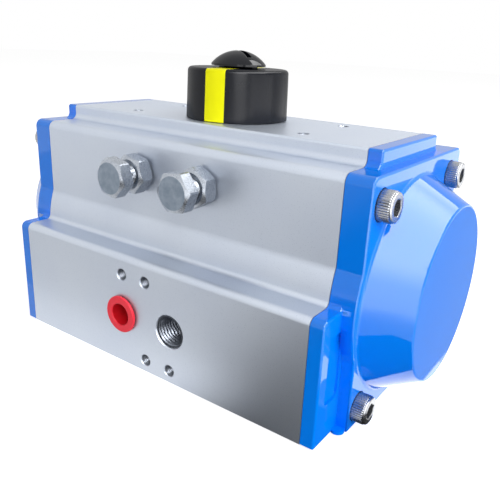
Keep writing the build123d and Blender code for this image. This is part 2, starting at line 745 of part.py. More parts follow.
support_washer = ring(support_washer_bottom, support_washer_thickness,
                      upper_journal_radius + slip_fit, thrust_ring_radius)
support_washer.part.label = "support_washer"
export_step(support_washer.part, "parts/support_washer.step")

with BuildPart() as retaining_ring:
    with BuildSketch(Plane.XY.offset(retaining_ring_bottom)):
        Circle(retaining_ring_radius)
        Circle(retaining_groove_radius, mode=Mode.SUBTRACT)
        with Locations((retaining_ring_radius, 0)):
            Rectangle(2 * retaining_ring_radius, retaining_ring_gap, mode=Mode.SUBTRACT)
    extrude(amount=retaining_ring_thickness)
retaining_ring.part.label = "retaining_ring"
export_step(retaining_ring.part, "parts/retaining_ring.step")


# Pistons: a head with its rings and a rack leg that passes the pinion on one side
piston_radius = bore_radius - piston_clearance
piston_outer_x = piston_inner_x + piston_thickness
rack_foot = Plane.XY.offset(bore_height - rack_half_height)
seal_groove_middle = piston_outer_x - piston_seal_offset
guide_groove_middle = piston_outer_x - guide_ring_offset


def across_at(x):
    """The plane across the housing at a distance from the shaft axis, centred on the bore."""
    return Plane(origin=(x, 0, bore_height), x_dir=(0, 1, 0), z_dir=(1, 0, 0))


# One rack tooth: straight flanks at the pressure angle, from just inside its root line
tooth_height = (1 + root_factor) * gear_module
half_tip = tooth_pitch / 4 - tooth_backlash - gear_module * tan(radians(pressure_angle))
half_foot = half_tip + tooth_height * tan(radians(pressure_angle))
with BuildSketch() as rack_tooth:
    with BuildLine():
        Polyline((-half_foot, -slip_fit), (half_foot, -slip_fit), (half_foot, 0), (half_tip, tooth_height),
                 (-half_tip, tooth_height), (-half_foot, 0), close=True)
    make_face()

with BuildPart() as right_piston:
    with BuildSketch(across_at(piston_inner_x)):
        Circle(piston_radius)
    extrude(amount=piston_thickness)
    # Rack leg: the part of a round bar on the port side of the pinion
    with BuildSketch(across_at(-rack_end_x)):
        with BuildSketch(mode=Mode.PRIVATE) as leg_window:
            with Locations((-rack_root_y, 0)):
                Rectangle(rack_outer_radius, 2 * rack_half_height, align=(Align.MAX, Align.CENTER))
        Circle(rack_outer_radius)
        add(leg_window.sketch, mode=Mode.INTERSECT)
    extrude(amount=rack_end_x + piston_inner_x)
    # Rack teeth
    with BuildSketch(rack_foot):
        tooth_places = [(step + 0.5 - rack_teeth_past_shaft) * tooth_pitch for step in range(rack_teeth)]
        with Locations(*[(x, -rack_root_y) for x in tooth_places]):
            add(rack_tooth.sketch)
    extrude(amount=2 * rack_half_height)
    # Ring grooves in the head
    for middle, width, depth in ((seal_groove_middle, piston_seal_cord + groove_room, piston_seal_cord),
                                 (guide_groove_middle, guide_ring_width, guide_ring_thickness)):
        with BuildSketch(across_at(middle - width / 2)):
            Circle(bore_radius)
            Circle(bore_radius - running_fit - depth - slip_fit, mode=Mode.SUBTRACT)
        extrude(amount=width, mode=Mode.SUBTRACT)
    # Seat of the rack guide on the outside of the leg
    with BuildSketch(across_at(-rack_end_x + rack_guide_inset)):
        with BuildSketch(mode=Mode.PRIVATE) as seat_window:
            with Locations((-rack_root_y, 0)):
                Rectangle(bore_radius, rack_guide_height, align=(Align.MAX, Align.CENTER))
        Circle(bore_radius)
        Circle(bore_radius - running_fit - rack_guide_depth, mode=Mode.SUBTRACT)
        add(seat_window.sketch, mode=Mode.INTERSECT)
    extrude(amount=rack_guide_length, mode=Mode.SUBTRACT)
    # Spring seats in the outer face, empty on a double-acting drive
    with BuildSketch(across_at(piston_outer_x)):
        with PolarLocations(spring_seat_circle, spring_seat_count, start_angle=90):
            Circle(spring_seat_radius)
        Circle(spring_seat_radius)
    extrude(amount=-spring_seat_depth, mode=Mode.SUBTRACT)

right_piston_seal = round_seal(
    Plane(origin=(seal_groove_middle, 0, bore_height), x_dir=(0, 1, 0), z_dir=(1, 0, 0)),
    bore_radius - running_fit - piston_seal_cord / 2, piston_seal_cord)

with BuildPart() as right_guide_ring:
    with BuildSketch(across_at(guide_groove_middle - guide_ring_width / 2)):
        Circle(bore_radius - running_fit)
        Circle(bore_radius - running_fit - guide_ring_thickness, mode=Mode.SUBTRACT)
    extrude(amount=guide_ring_width)

with BuildPart() as right_rack_guide:
    with BuildSketch(across_at(-rack_end_x + rack_guide_inset + slip_fit)):
        with BuildSketch(mode=Mode.PRIVATE) as pad_window:
            with Locations((-rack_root_y, 0)):
                Rectangle(bore_radius, rack_guide_height - 2 * slip_fit, align=(Align.MAX, Align.CENTER))
        Circle(bore_radius - running_fit)
        Circle(bore_radius - running_fit - rack_guide_depth, mode=Mode.SUBTRACT)
        add(pad_window.sketch, mode=Mode.INTERSECT)
    extrude(amount=rack_guide_length - 2 * slip_fit)

piston_pieces = (("piston", right_piston), ("piston_seal", right_piston_seal),
                 ("piston_guide_ring", right_guide_ring), ("rack_guide", right_rack_guide))
for word, piece in piston_pieces:
    for hand, turn in (("right", 0), ("left", 180)):
        with BuildPart() as placed:
            add(piece.part.rotate(Axis.Z, turn))
        placed.part.label = f"{hand}_{word}"
        export_step(placed.part, f"parts/{hand}_{word}.step")


# Stop bolts with their lock nuts and seals
for hand, side, head_turn, nut_turn in (("left", -1, *left_hex_turns), ("right", 1, *right_hex_turns)):
    axis_point = Vector(side * stop_bolt_x, 0, stop_bolt_z)
    head_plane = Plane(origin=axis_point - Vector(0, bolt_underside_y, 0), x_dir=(1, 0, 0), z_dir=(0, -1, 0))
    nut_plane = Plane(origin=axis_point - Vector(0, nut_inner_y, 0), x_dir=(1, 0, 0), z_dir=(0, -1, 0))
    bolt_head = hexagon(head_plane, bolt_head_flats, bolt_head_thickness, head_turn, underside_chamfer)
    nut_block = hexagon(nut_plane, nut_flats, nut_thickness, nut_turn, hex_chamfer)
    with BuildPart() as stop_bolt:
        add(bolt_head.part)
        with BuildSketch(head_plane):
            Circle(bolt_radius)
        extrude(amount=-(bolt_underside_y - bolt_tip_y - bolt_point_length))
        with BuildSketch(head_plane):
            Circle(bolt_point_radius)
        extrude(amount=-(bolt_underside_y - bolt_tip_y))
    stop_bolt.part.label = f"{hand}_stop_bolt"
    export_step(stop_bolt.part, f"parts/{hand}_stop_bolt.step")

    with BuildPart() as lock_nut:
        add(nut_block.part)
        with BuildSketch(nut_plane):
            Circle(bolt_radius + running_fit)
        extrude(amount=nut_thickness, mode=Mode.SUBTRACT)
    lock_nut.part.label = f"{hand}_lock_nut"
    export_step(lock_nut.part, f"parts/{hand}_lock_nut.step")

with BuildPart() as stop_bolt_seals:
    with BuildSketch(stop_plane):
        with Locations((-stop_bolt_x, stop_bolt_z), (stop_bolt_x, stop_bolt_z)):
            Circle(bolt_radius + running_fit + stop_seal_cord - slip_fit)
            Circle(bolt_radius + running_fit, mode=Mode.SUBTRACT)
    extrude(amount=-stop_seal_cord)
stop_bolt_seals.part.label = "stop_bolt_seals"
export_step(stop_bolt_seals.part, "parts/stop_bolt_seals.step")


# Position indicator: a moulded cap with a hub on the shaft's flats, ribs and an inlaid stripe
stripe_plane = Plane(origin=(0, 0, 0), x_dir=(cos(radians(indicator_turn)), sin(radians(indicator_turn)), 0),
                     z_dir=(0, 0, 1))


def indicator_form(inset, bottom):
    """The indicator's outer form, or the same form set in by a thickness."""
    with BuildPart() as form:
        with BuildSketch(Plane.XZ):
            with BuildLine():
                Polyline((0, bottom), (indicator_radius - inset, bottom),
                         (indicator_top_radius - inset, indicator_top - inset), (0, indicator_top - inset),
                         close=True)
            make_face()
            rim_corner = vertices().sort_by(Axis.Y)[-2:].sort_by(Axis.X)[-1]
            fillet(rim_corner, indicator_edge_radius - min(inset, indicator_edge_radius / 2))
        revolve(axis=Axis.Z)
    return form


outer_form = indicator_form(0, indicator_bottom)
inner_form = indicator_form(stripe_thickness, indicator_bottom)
with BuildPart() as indicator_stripe:
    add(outer_form.part)
    add(inner_form.part, mode=Mode.SUBTRACT)
    with BuildSketch(stripe_plane.offset(indicator_bottom)):
        Rectangle(stripe_width, 2 * indicator_radius)
    extrude(amount=indicator_top - indicator_bottom, mode=Mode.INTERSECT)
    with BuildSketch(Plane.XY.offset(indicator_bottom)):
        Circle(knob_shank_radius + running_fit)
    extrude(amount=indicator_top - indicator_bottom, mode=Mode.SUBTRACT)
indicator_stripe.part.label = "indicator_stripe"
export_step(indicator_stripe.part, "parts/indicator_stripe.step")

hub_radius = spigot_radius + indicator_hub_wall
roof_bottom = indicator_top - indicator_roof
with BuildPart() as position_indicator:
    add(outer_form.part)
    with BuildSketch(Plane.XY.offset(indicator_bottom)):
        Circle(indicator_top_radius - indicator_wall)
    extrude(amount=indicator_hub_bottom - indicator_bottom, mode=Mode.SUBTRACT)
    with BuildSketch(Plane.XY.offset(indicator_hub_bottom)):
        Circle(indicator_top_radius - indicator_wall)
        Circle(hub_radius, mode=Mode.SUBTRACT)
    extrude(amount=roof_bottom - indicator_hub_bottom, mode=Mode.SUBTRACT)
    with BuildSketch(Plane.XY.offset(indicator_hub_bottom + rib_drop)):
        with PolarLocations((hub_radius + indicator_top_radius - indicator_wall) / 2, 4, start_angle=45):
            Rectangle(indicator_top_radius - indicator_wall - hub_radius + overcut, rib_thickness)
    extrude(amount=roof_bottom - indicator_hub_bottom - rib_drop)
    with BuildSketch(Plane.XY.offset(indicator_hub_bottom)):
        add(flatted_circle(spigot_radius + slip_fit, spigot_flats + 2 * slip_fit))
    extrude(amount=shaft_top + slip_fit - indicator_hub_bottom, mode=Mode.SUBTRACT)
    with BuildSketch(Plane.XY.offset(shaft_top)):
        Circle(knob_shank_radius + running_fit)
    extrude(amount=indicator_top - shaft_top, mode=Mode.SUBTRACT)
    add(indicator_stripe.part, mode=Mode.SUBTRACT)
position_indicator.part.label = "position_indicator"
export_step(position_indicator.part, "parts/position_indicator.step")

with BuildPart() as indicator_knob:
    with BuildSketch(Plane.XZ):
        with BuildLine():
            Line((0, indicator_top), (knob_neck_radius, indicator_top))
            Line((knob_neck_radius, indicator_top), (knob_neck_radius, knob_bottom))
            Line((knob_neck_radius, knob_bottom), (knob_radius, knob_bottom))
            Line((knob_radius, knob_bottom), (knob_radius, knob_bottom + knob_rim))
            crown_rise = knob_top - knob_bottom - knob_rim
            crown_radius = (knob_radius**2 + crown_rise**2) / (2 * crown_rise)
            half_angle = atan2(knob_radius, crown_radius - crown_rise) / 2
            crown_middle = (crown_radius * sin(half_angle), knob_top - crown_radius * (1 - cos(half_angle)))
            ThreePointArc((knob_radius, knob_bottom + knob_rim), crown_middle, (0, knob_top))
            Line((0, knob_top), (0, indicator_top))
        make_face()
    revolve(axis=Axis.Z)
    with BuildSketch(Plane.XY.offset(knob_top)):
        Rectangle(2 * knob_radius, knob_slot_width, rotation=knob_slot_turn)
    extrude(amount=-knob_slot_depth, mode=Mode.SUBTRACT)
    with BuildSketch(Plane.XY.offset(knob_shank_end)):
        Circle(knob_shank_radius)
    extrude(amount=indicator_top - knob_shank_end)
indicator_knob.part.label = "indicator_knob"
export_step(indicator_knob.part, "parts/indicator_knob.step")


# Plug in the left air port
plug_face = Plane(origin=(-port_spacing / 2, -port_face_y - working_gap, port_height),
                  x_dir=(1, 0, 0), z_dir=(0, -1, 0))
plug_radius = port_radius - running_fit
with BuildPart() as port_plug:
    with BuildSketch(plug_face):
        Circle(plug_flange_radius)
    extrude(amount=plug_flange_thickness)
    with BuildSketch(plug_face):
        Circle(plug_radius)
    extrude(amount=-plug_length)
    with BuildSketch(plug_face.offset(plug_flange_thickness)):
        Circle(plug_radius - plug_wall)
    extrude(amount=-(plug_flange_thickness + plug_length - plug_floor), mode=Mode.SUBTRACT)
port_plug.part.label = "port_plug"
export_step(port_plug.part, "parts/port_plug.step")
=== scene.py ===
"""The looks of a quarter-turn pneumatic valve actuator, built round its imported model.

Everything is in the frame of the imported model: +X along the housing, +Z up along the shaft, -Y out
of the face with the air ports, with the origin on the shaft at the valve face. Meshes are in metres,
and the sizes of pieces are written in millimetres, which MM turns into metres.
"""

import logging
import math
from collections.abc import Callable, Sequence
from dataclasses import dataclass
from enum import Enum

import bmesh
import bpy
import numpy as np
from bpy.types import ID, Material, Mesh, Node, NodeSocket, NodeTree, Object
from mathutils import Matrix, Vector


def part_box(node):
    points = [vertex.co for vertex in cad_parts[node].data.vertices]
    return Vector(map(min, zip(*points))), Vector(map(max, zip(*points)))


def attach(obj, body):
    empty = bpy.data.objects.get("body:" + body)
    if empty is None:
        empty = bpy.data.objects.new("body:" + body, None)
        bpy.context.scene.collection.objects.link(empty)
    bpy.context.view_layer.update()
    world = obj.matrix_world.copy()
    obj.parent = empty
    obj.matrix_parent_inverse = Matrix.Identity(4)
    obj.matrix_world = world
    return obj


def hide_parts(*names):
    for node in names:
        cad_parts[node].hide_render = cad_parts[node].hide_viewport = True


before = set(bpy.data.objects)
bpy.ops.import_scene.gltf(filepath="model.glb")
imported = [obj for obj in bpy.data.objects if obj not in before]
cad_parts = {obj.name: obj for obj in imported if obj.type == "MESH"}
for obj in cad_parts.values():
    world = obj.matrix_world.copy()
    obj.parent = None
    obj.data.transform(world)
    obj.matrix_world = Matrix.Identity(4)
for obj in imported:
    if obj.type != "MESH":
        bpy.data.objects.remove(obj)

MM = 0.001
TURN = 2.0 * math.pi
FRONT, UP, DOWN = (0.0, -1.0, 0.0), (0.0, 0.0, 1.0), (0.0, 0.0, -1.0)
COLUMNS = 72  # round a turned piece

# Edges that turn by more than these stay sharp, on most pieces and on turned ones.
SHARP_ANGLE = math.radians(32.0)
TURNED_ANGLE = math.radians(18.0)

# Faces in one plane, points in one place and edges of no length are merged, each within its limit.
SAME_PLANE = math.radians(0.05)
SAME_PLACE = 0.001 * MM
NO_LENGTH = 0.0001 * MM

WHITE = (1.0, 1.0, 1.0, 1.0)
STRETCHES = ("Along X", "Along Y", "Along Z")
BUMP_HEIGHT = 0.1 * MM
NOISE_MIDDLE = (0.3, 0.7)  # where most of a noise's values lie
FIRST_REFLECTION = 1.5  # below this glossy depth a ray shows what the first surface reflects

LOG = logging.getLogger("actuator")

Pair = tuple[float, float]
Triple = tuple[float, float, float]
Corners = tuple[Triple, Triple, Triple, Triple]
Row = Sequence[float | np.ndarray]
Value = float | tuple[float, ...] | NodeSocket


# Surfaces


@dataclass(frozen=True)
class Seat:
    """A place that a turned piece is built on.

    Attributes:
        origin: the place, in metres.
        outward: direction of the piece's axis.
        across: direction of its first column.
    """

    origin: Triple
    outward: Triple
    across: Triple = (1.0, 0.0, 0.0)

    def put(self, points: np.ndarray) -> np.ndarray:
        """Move points from the seat's own axes to the frame.

        Args:
            points: array of (..., 3) in millimetres, with z along the outward direction.

        Returns:
            The same points in metres: origin + x * across + y * (outward x across) + z * outward.
        """
        z_dir = np.array(self.outward, float)
        x_dir = np.array(self.across, float)
        y_dir = np.cross(z_dir, x_dir)
        return np.array(self.origin, float) + (points @ np.array([x_dir, y_dir, z_dir])) * MM


def front_seat(low: Vector, high: Vector, y: float) -> Seat:
    """The seat at a given y that faces the port side, on the middle line of the box from low to high."""
    middle = (low + high) / 2.0
    return Seat((middle.x, y, middle.z), FRONT)


def angles(columns: int) -> np.ndarray:
    """The directions of a turned grid's columns: 2 pi j / columns."""
    return np.arange(columns) * TURN / columns


def rounded(points: list[Pair], radii: Sequence[float], steps: int = 5) -> list[list[float]]:
    """Round the corners of an open outline.

    Each inner corner becomes an arc of its radius, tangent to both of its runs: the arc starts
    radius * tan(half the turn) before the corner and its centre lies on the corner's bisector.

    Args:
        points: corners of the outline.
        radii: one radius for each inner corner.
        steps: number of chords in an arc.

    Returns:
        Radius and height of each point along the rounded outline.
    """
    corners = np.array(points, float)
    kept = [corners[:1]]
    for before, corner, after, radius in zip(corners, corners[1:], corners[2:], radii):
        enter = (corner - before) / np.linalg.norm(corner - before)
        leave = (after - corner) / np.linalg.norm(after - corner)
        turn = math.atan2(enter[0] * leave[1] - enter[1] * leave[0], float(enter @ leave))
        reach = radius * math.tan(abs(turn) / 2.0)
        side = np.array([-enter[1], enter[0]]) * math.copysign(1.0, turn)
        centre = corner - enter * reach + side * radius
        swing = np.linspace(0.0, turn, steps + 1)[:, None]
        spoke = -side * radius
        swung = np.concatenate([spoke[0] * np.cos(swing) - spoke[1] * np.sin(swing),
                                spoke[0] * np.sin(swing) + spoke[1] * np.cos(swing)], axis=1)
        kept.append(centre + swung)
    kept.append(corners[-1:])
    return np.concatenate(kept).tolist()


def turned(rows: Sequence[Row], columns: int) -> np.ndarray:
    """Carry a profile round the z axis.

    The point at row i and column j is (r cos a, r sin a, h), with a = 2 pi j / columns.

    Args:
        rows: radius and height of each row, each one number or one for each column.
        columns: number of columns round the axis.

    Returns:
        Array of (rows, columns, 3) points.
    """
    radius = np.array([np.broadcast_to(row[0], columns) for row in rows])
    height = np.array([np.broadcast_to(row[1], columns) for row in rows])
    around = angles(columns)
    return np.stack([radius * np.cos(around), radius * np.sin(around), height], axis=-1)


def hexagon_radius(around: np.ndarray, flats: float, turn: float = 0.0) -> np.ndarray:
    """The distance from the axis to a hexagon's side.

    It is (flats / 2) / cos(angle from the middle of the nearest side).

    Args:
        around: directions to look in, in radians.
        flats: distance across the hexagon's flats.
        turn: direction of one of its corners, in radians.

    Returns:
        The distance in each direction.
    """
    sixth = TURN / 6.0
    off_middle = np.mod(around - turn, sixth) - sixth / 2.0
    return flats / 2.0 / np.cos(off_middle)


def sheet_faces(rows: int, columns: int) -> np.ndarray:
    """Join the points of a grid whose columns close round the axis.

    Args:
        rows: number of rows.
        columns: number of columns.

    Returns:
        Array of (n, 4) point numbers, a quad between each two neighbouring rows and columns.
    """
    row, column = np.meshgrid(np.arange(rows - 1), np.arange(columns), indexing="ij")
    beside = (column + 1) % columns
    quads = np.stack([row * columns + column, row * columns + beside,
                      (row + 1) * columns + beside, (row + 1) * columns + column], axis=-1)
    return quads.reshape(-1, 4)


def finish_mesh(mesh: Mesh, sharp_angle: float) -> None:
    """Merge a mesh's doubled points, drop faces without area and keep only real edges sharp.

    Triangles in one plane become one face, so that a flat outweighs the fillets round it.

    Args:
        mesh: the mesh to finish.
        sharp_angle: edges that turn by more than this stay sharp.
    """
    work = bmesh.new()
    work.from_mesh(mesh)
    bmesh.ops.remove_doubles(work, verts=work.verts, dist=SAME_PLACE)
    bmesh.ops.dissolve_degenerate(work, edges=work.edges, dist=NO_LENGTH)
    bmesh.ops.dissolve_limit(work, angle_limit=SAME_PLANE, verts=work.verts, edges=work.edges)
    work.to_mesh(mesh)
    work.free()
    mesh.shade_smooth()
    mesh.set_sharp_from_angle(angle=sharp_angle)


def in_scene(name: str, data: ID) -> Object:
    """Put a mesh, lamp or camera in the scene as an object at the origin."""
    item = bpy.data.objects.new(name, data)
    bpy.context.scene.collection.objects.link(item)
    return item


def finished_object(name: str, mesh: Mesh, sharp_angle: float) -> Object:
    """Make an object of a mesh, with normals that keep its flats flat.

    Args:
        name: name of the new object.
        mesh: its mesh, in metres.
        sharp_angle: edges that turn by more than this stay sharp.

    Returns:
        The new object.
    """
    finish_mesh(mesh, sharp_angle)
    piece = in_scene(name, mesh)
    weighted = piece.modifiers.new("even_normals", "WEIGHTED_NORMAL")
    weighted.keep_sharp = True
    weighted.weight = 100
    return piece


def grid_object(name: str, grids: list[np.ndarray], sharp_angle: float = SHARP_ANGLE) -> Object:
    """Make one object from closed grids of points.

    Args:
        name: name of the new object.
        grids: arrays of (rows, columns, 3) points in metres, which close at both ends.
        sharp_angle: edges that turn by more than this stay sharp.

    Returns:
        The new object.
    """
    starts = np.cumsum([0, *(grid.shape[0] * grid.shape[1] for grid in grids)])
    points = np.concatenate([grid.reshape(-1, 3) for grid in grids])
    faces = np.concatenate([sheet_faces(*grid.shape[:2]) + start for grid, start in zip(grids, starts)])
    mesh = bpy.data.meshes.new(name)
    mesh.from_pydata(points.tolist(), [], faces.tolist())
    return finished_object(name, mesh, sharp_angle)


def copy_of_node(name: str, node: str) -> Object:
    """Make a smooth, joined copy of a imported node's mesh.

    Args:
        name: name of the copy.
        node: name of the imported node.

    Returns:
        The copy, without a material.
    """
    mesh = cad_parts[node].data.copy()
    mesh.name = name
    mesh.materials.clear()
    return finished_object(name, mesh, SHARP_ANGLE)


# Finishes


def connect(tree: NodeTree, node: Node, inputs: dict[str | int, Value]) -> None:
    """Set or link a node's inputs.

    Args:
        tree: the node's tree.
        node: the node.
        inputs: a value or a socket for each input, by its name or number.
    """
    for label, value in inputs.items():
        if isinstance(value, NodeSocket):
            tree.links.new(value, node.inputs[label])
        else:
            node.inputs[label].default_value = value


def add_node(tree: NodeTree, kind: str, inputs: dict[str | int, Value], **options: str | NodeTree) -> Node:
    """Add a shader node.

    Args:
        tree: the tree to add it to.
        kind: the node's type, without ShaderNode before it.
        inputs: a value or a socket for each input that isn't left as it is.
        options: the node's own settings.

    Returns:
        The new node.
    """
    node = tree.nodes.new(f"ShaderNode{kind}")
    for option, choice in options.items():
        setattr(node, option, choice)
    connect(tree, node, inputs)
    return node


def spread(tree: NodeTree, noise: NodeSocket, made: Pair = (0.0, 1.0)) -> NodeSocket:
    """Spread the middle range of a noise over a whole range.

    Args:
        tree: the noise's tree.
        noise: socket of the noise.
        made: the range that comes out.

    Returns:
        The socket of the result.
    """
    low, high = NOISE_MIDDLE
    return add_node(tree, "MapRange", {"Value": noise, "From Min": low, "From Max": high,
                                       "To Min": made[0], "To Max": made[1]}).outputs["Result"]


def new_material(name: str, values: dict[str, Value]) -> tuple[Material, NodeTree, Node]:
    """Start a material.

    Args:
        name: its name.
        values: what is the same all over the surface, by the shader's inputs.

    Returns:
        The material, its tree and its shader.
    """
    material = bpy.data.materials.new(name)
    material.use_nodes = True
    tree = material.node_tree
    shader = tree.nodes["Principled BSDF"]
    connect(tree, shader, values)
    return material, tree, shader


def node_group(name: str, inputs: dict[str, float], outputs: dict[str, str]) -> tuple[NodeTree, Node, Node]:
    """Start a shader node group with named sockets.

    Args:
        name: name of the group.
        inputs: default value of each input, all of which are numbers.
        outputs: socket type of each output, after NodeSocket.

    Returns:
        The group, its input node and its output node.
    """
    group = bpy.data.node_groups.new(name, "ShaderNodeTree")
    for label, value in inputs.items():
        socket = group.interface.new_socket(name=label, in_out="INPUT", socket_type="NodeSocketFloat")
        socket.default_value = value
    for label, kind in outputs.items():
        group.interface.new_socket(name=label, in_out="OUTPUT", socket_type=f"NodeSocket{kind}")
    return group, group.nodes.new("NodeGroupInput"), group.nodes.new("NodeGroupOutput")


def grain_group() -> NodeTree:
    """Fine texture of a surface: noise on stretched object coordinates.

    Returns:
        A group that gives the noise as a mask and as a bumped normal.
    """
    group, given, made = node_group("surface_grain", dict.fromkeys(STRETCHES, 1000.0) | {"Depth": 0.1},
                                    {"Mask": "Float", "Normal": "Vector"})
    where = add_node(group, "TexCoord", {}).outputs["Object"]
    sizes = add_node(group, "CombineXYZ", dict(enumerate(given.outputs[label] for label in STRETCHES)))
    scaled = add_node(group, "VectorMath", {0: where, 1: sizes.outputs[0]}, operation="MULTIPLY")
    noise = add_node(group, "TexNoise", {"Vector": scaled.outputs[0], "Scale": 1.0, "Detail": 3.0,
                                         "Roughness": 0.6}).outputs["Fac"]
    bump = add_node(group, "Bump", {"Strength": given.outputs["Depth"], "Distance": BUMP_HEIGHT,
                                    "Height": noise})
    connect(group, made, {"Mask": noise, "Normal": bump.outputs["Normal"]})
    return group


def mottle_group() -> NodeTree:
    """Slow change of tone over a surface: broad noise with its middle range spread out to 0 and 1.

    Returns:
        A group that gives the noise as a mask.
    """
    group, given, made = node_group("slow_mottle", {"Scale": 40.0}, {"Mask": "Float"})
    where = add_node(group, "TexCoord", {}).outputs["Object"]
    noise = add_node(group, "TexNoise", {"Vector": where, "Scale": given.outputs["Scale"], "Detail": 2.0})
    connect(group, made, {"Mask": spread(group, noise.outputs["Fac"])})
    return group


def speck_group() -> NodeTree:
    """Scattered specks, such as pits: the cores of randomly placed cells.

    Returns:
        A group that gives the specks as a mask.
    """
    group, given, made = node_group("fine_specks", {"Scale": 900.0, "Size": 0.15}, {"Mask": "Float"})
    where = add_node(group, "TexCoord", {}).outputs["Object"]
    cells = add_node(group, "TexVoronoi", {"Vector": where, "Scale": given.outputs["Scale"]})
    core = add_node(group, "Math", {0: cells.outputs["Distance"], 1: given.outputs["Size"]},
                    operation="LESS_THAN")
    connect(group, made, {"Mask": core.outputs[0]})
    return group


class Effects:
    """The shader node groups that the finishes share, each built once."""

    def __init__(self) -> None:
        """Build the groups."""
        self.grain = grain_group()
        self.mottle = mottle_group()
        self.specks = speck_group()


def even(density: float) -> Triple:
    """The same grain along all three axes."""
    return density, density, density


@dataclass(frozen=True)
class Finish:
    """A surface finish: two tones that drift into each other, a roughness range and a fine grain.

    Attributes:
        name: name of the material.
        tone: base colour.
        second_tone: colour that the base drifts towards.
        metallic: 1 for bare metal.
        roughness: lowest and highest roughness.
        grain: density of the grain along x, y and z, in cycles for each metre.
        depth: strength of the grain's bump.
        mottle: density of the drift between the tones.
        speck_tone: colour of scattered specks, or none.
        speck_scale: density of the specks.
        speck_size: size of a speck within its cell.
        coat: weight of a clear coat.
        coat_roughness: roughness of that coat.
        specular: reflectance of the base, 0.5 for most materials.
    """

    name: str
    tone: Triple
    second_tone: Triple
    metallic: float
    roughness: Pair
    grain: Triple
    depth: float
    mottle: float
    speck_tone: Triple | None = None
    speck_scale: float = 900.0
    speck_size: float = 0.15
    coat: float = 0.0
    coat_roughness: float = 0.1
    specular: float = 0.5

    def build(self, effects: Effects) -> Material:
        """Make the material.

        Args:
            effects: the shared node groups.

        Returns:
            The new material.
        """
        material, tree, shader = new_material(self.name, {
            "Metallic": self.metallic, "Coat Weight": self.coat, "Coat Roughness": self.coat_roughness,
            "Specular IOR Level": self.specular})
        grain = add_node(tree, "Group", dict(zip(STRETCHES, self.grain)) | {"Depth": self.depth},
                         node_tree=effects.grain)
        mottle = add_node(tree, "Group", {"Scale": self.mottle}, node_tree=effects.mottle)
        colour = self.mixed(tree, mottle, (*self.tone, 1.0), self.second_tone)
        if self.speck_tone is not None:
            specks = add_node(tree, "Group", {"Scale": self.speck_scale, "Size": self.speck_size},
                              node_tree=effects.specks)
            colour = self.mixed(tree, specks, colour, self.speck_tone)
        connect(tree, shader, {"Base Color": colour, "Normal": grain.outputs["Normal"],
                               "Roughness": spread(tree, grain.outputs["Mask"], self.roughness)})
        return material

    @staticmethod
    def mixed(tree: NodeTree, effect: Node, first: Value, second: Triple) -> NodeSocket:
        """Lay one colour over another.

        Args:
            tree: the material's tree.
            effect: node of the group whose mask says where.
            first: the colour below, or its socket.
            second: the colour on top.

        Returns:
            The socket of the mixed colour.
        """
        return add_node(tree, "Mix", {"Factor": effect.outputs["Mask"], "A": first, "B": (*second, 1.0)},
                        data_type="RGBA").outputs["Result"]


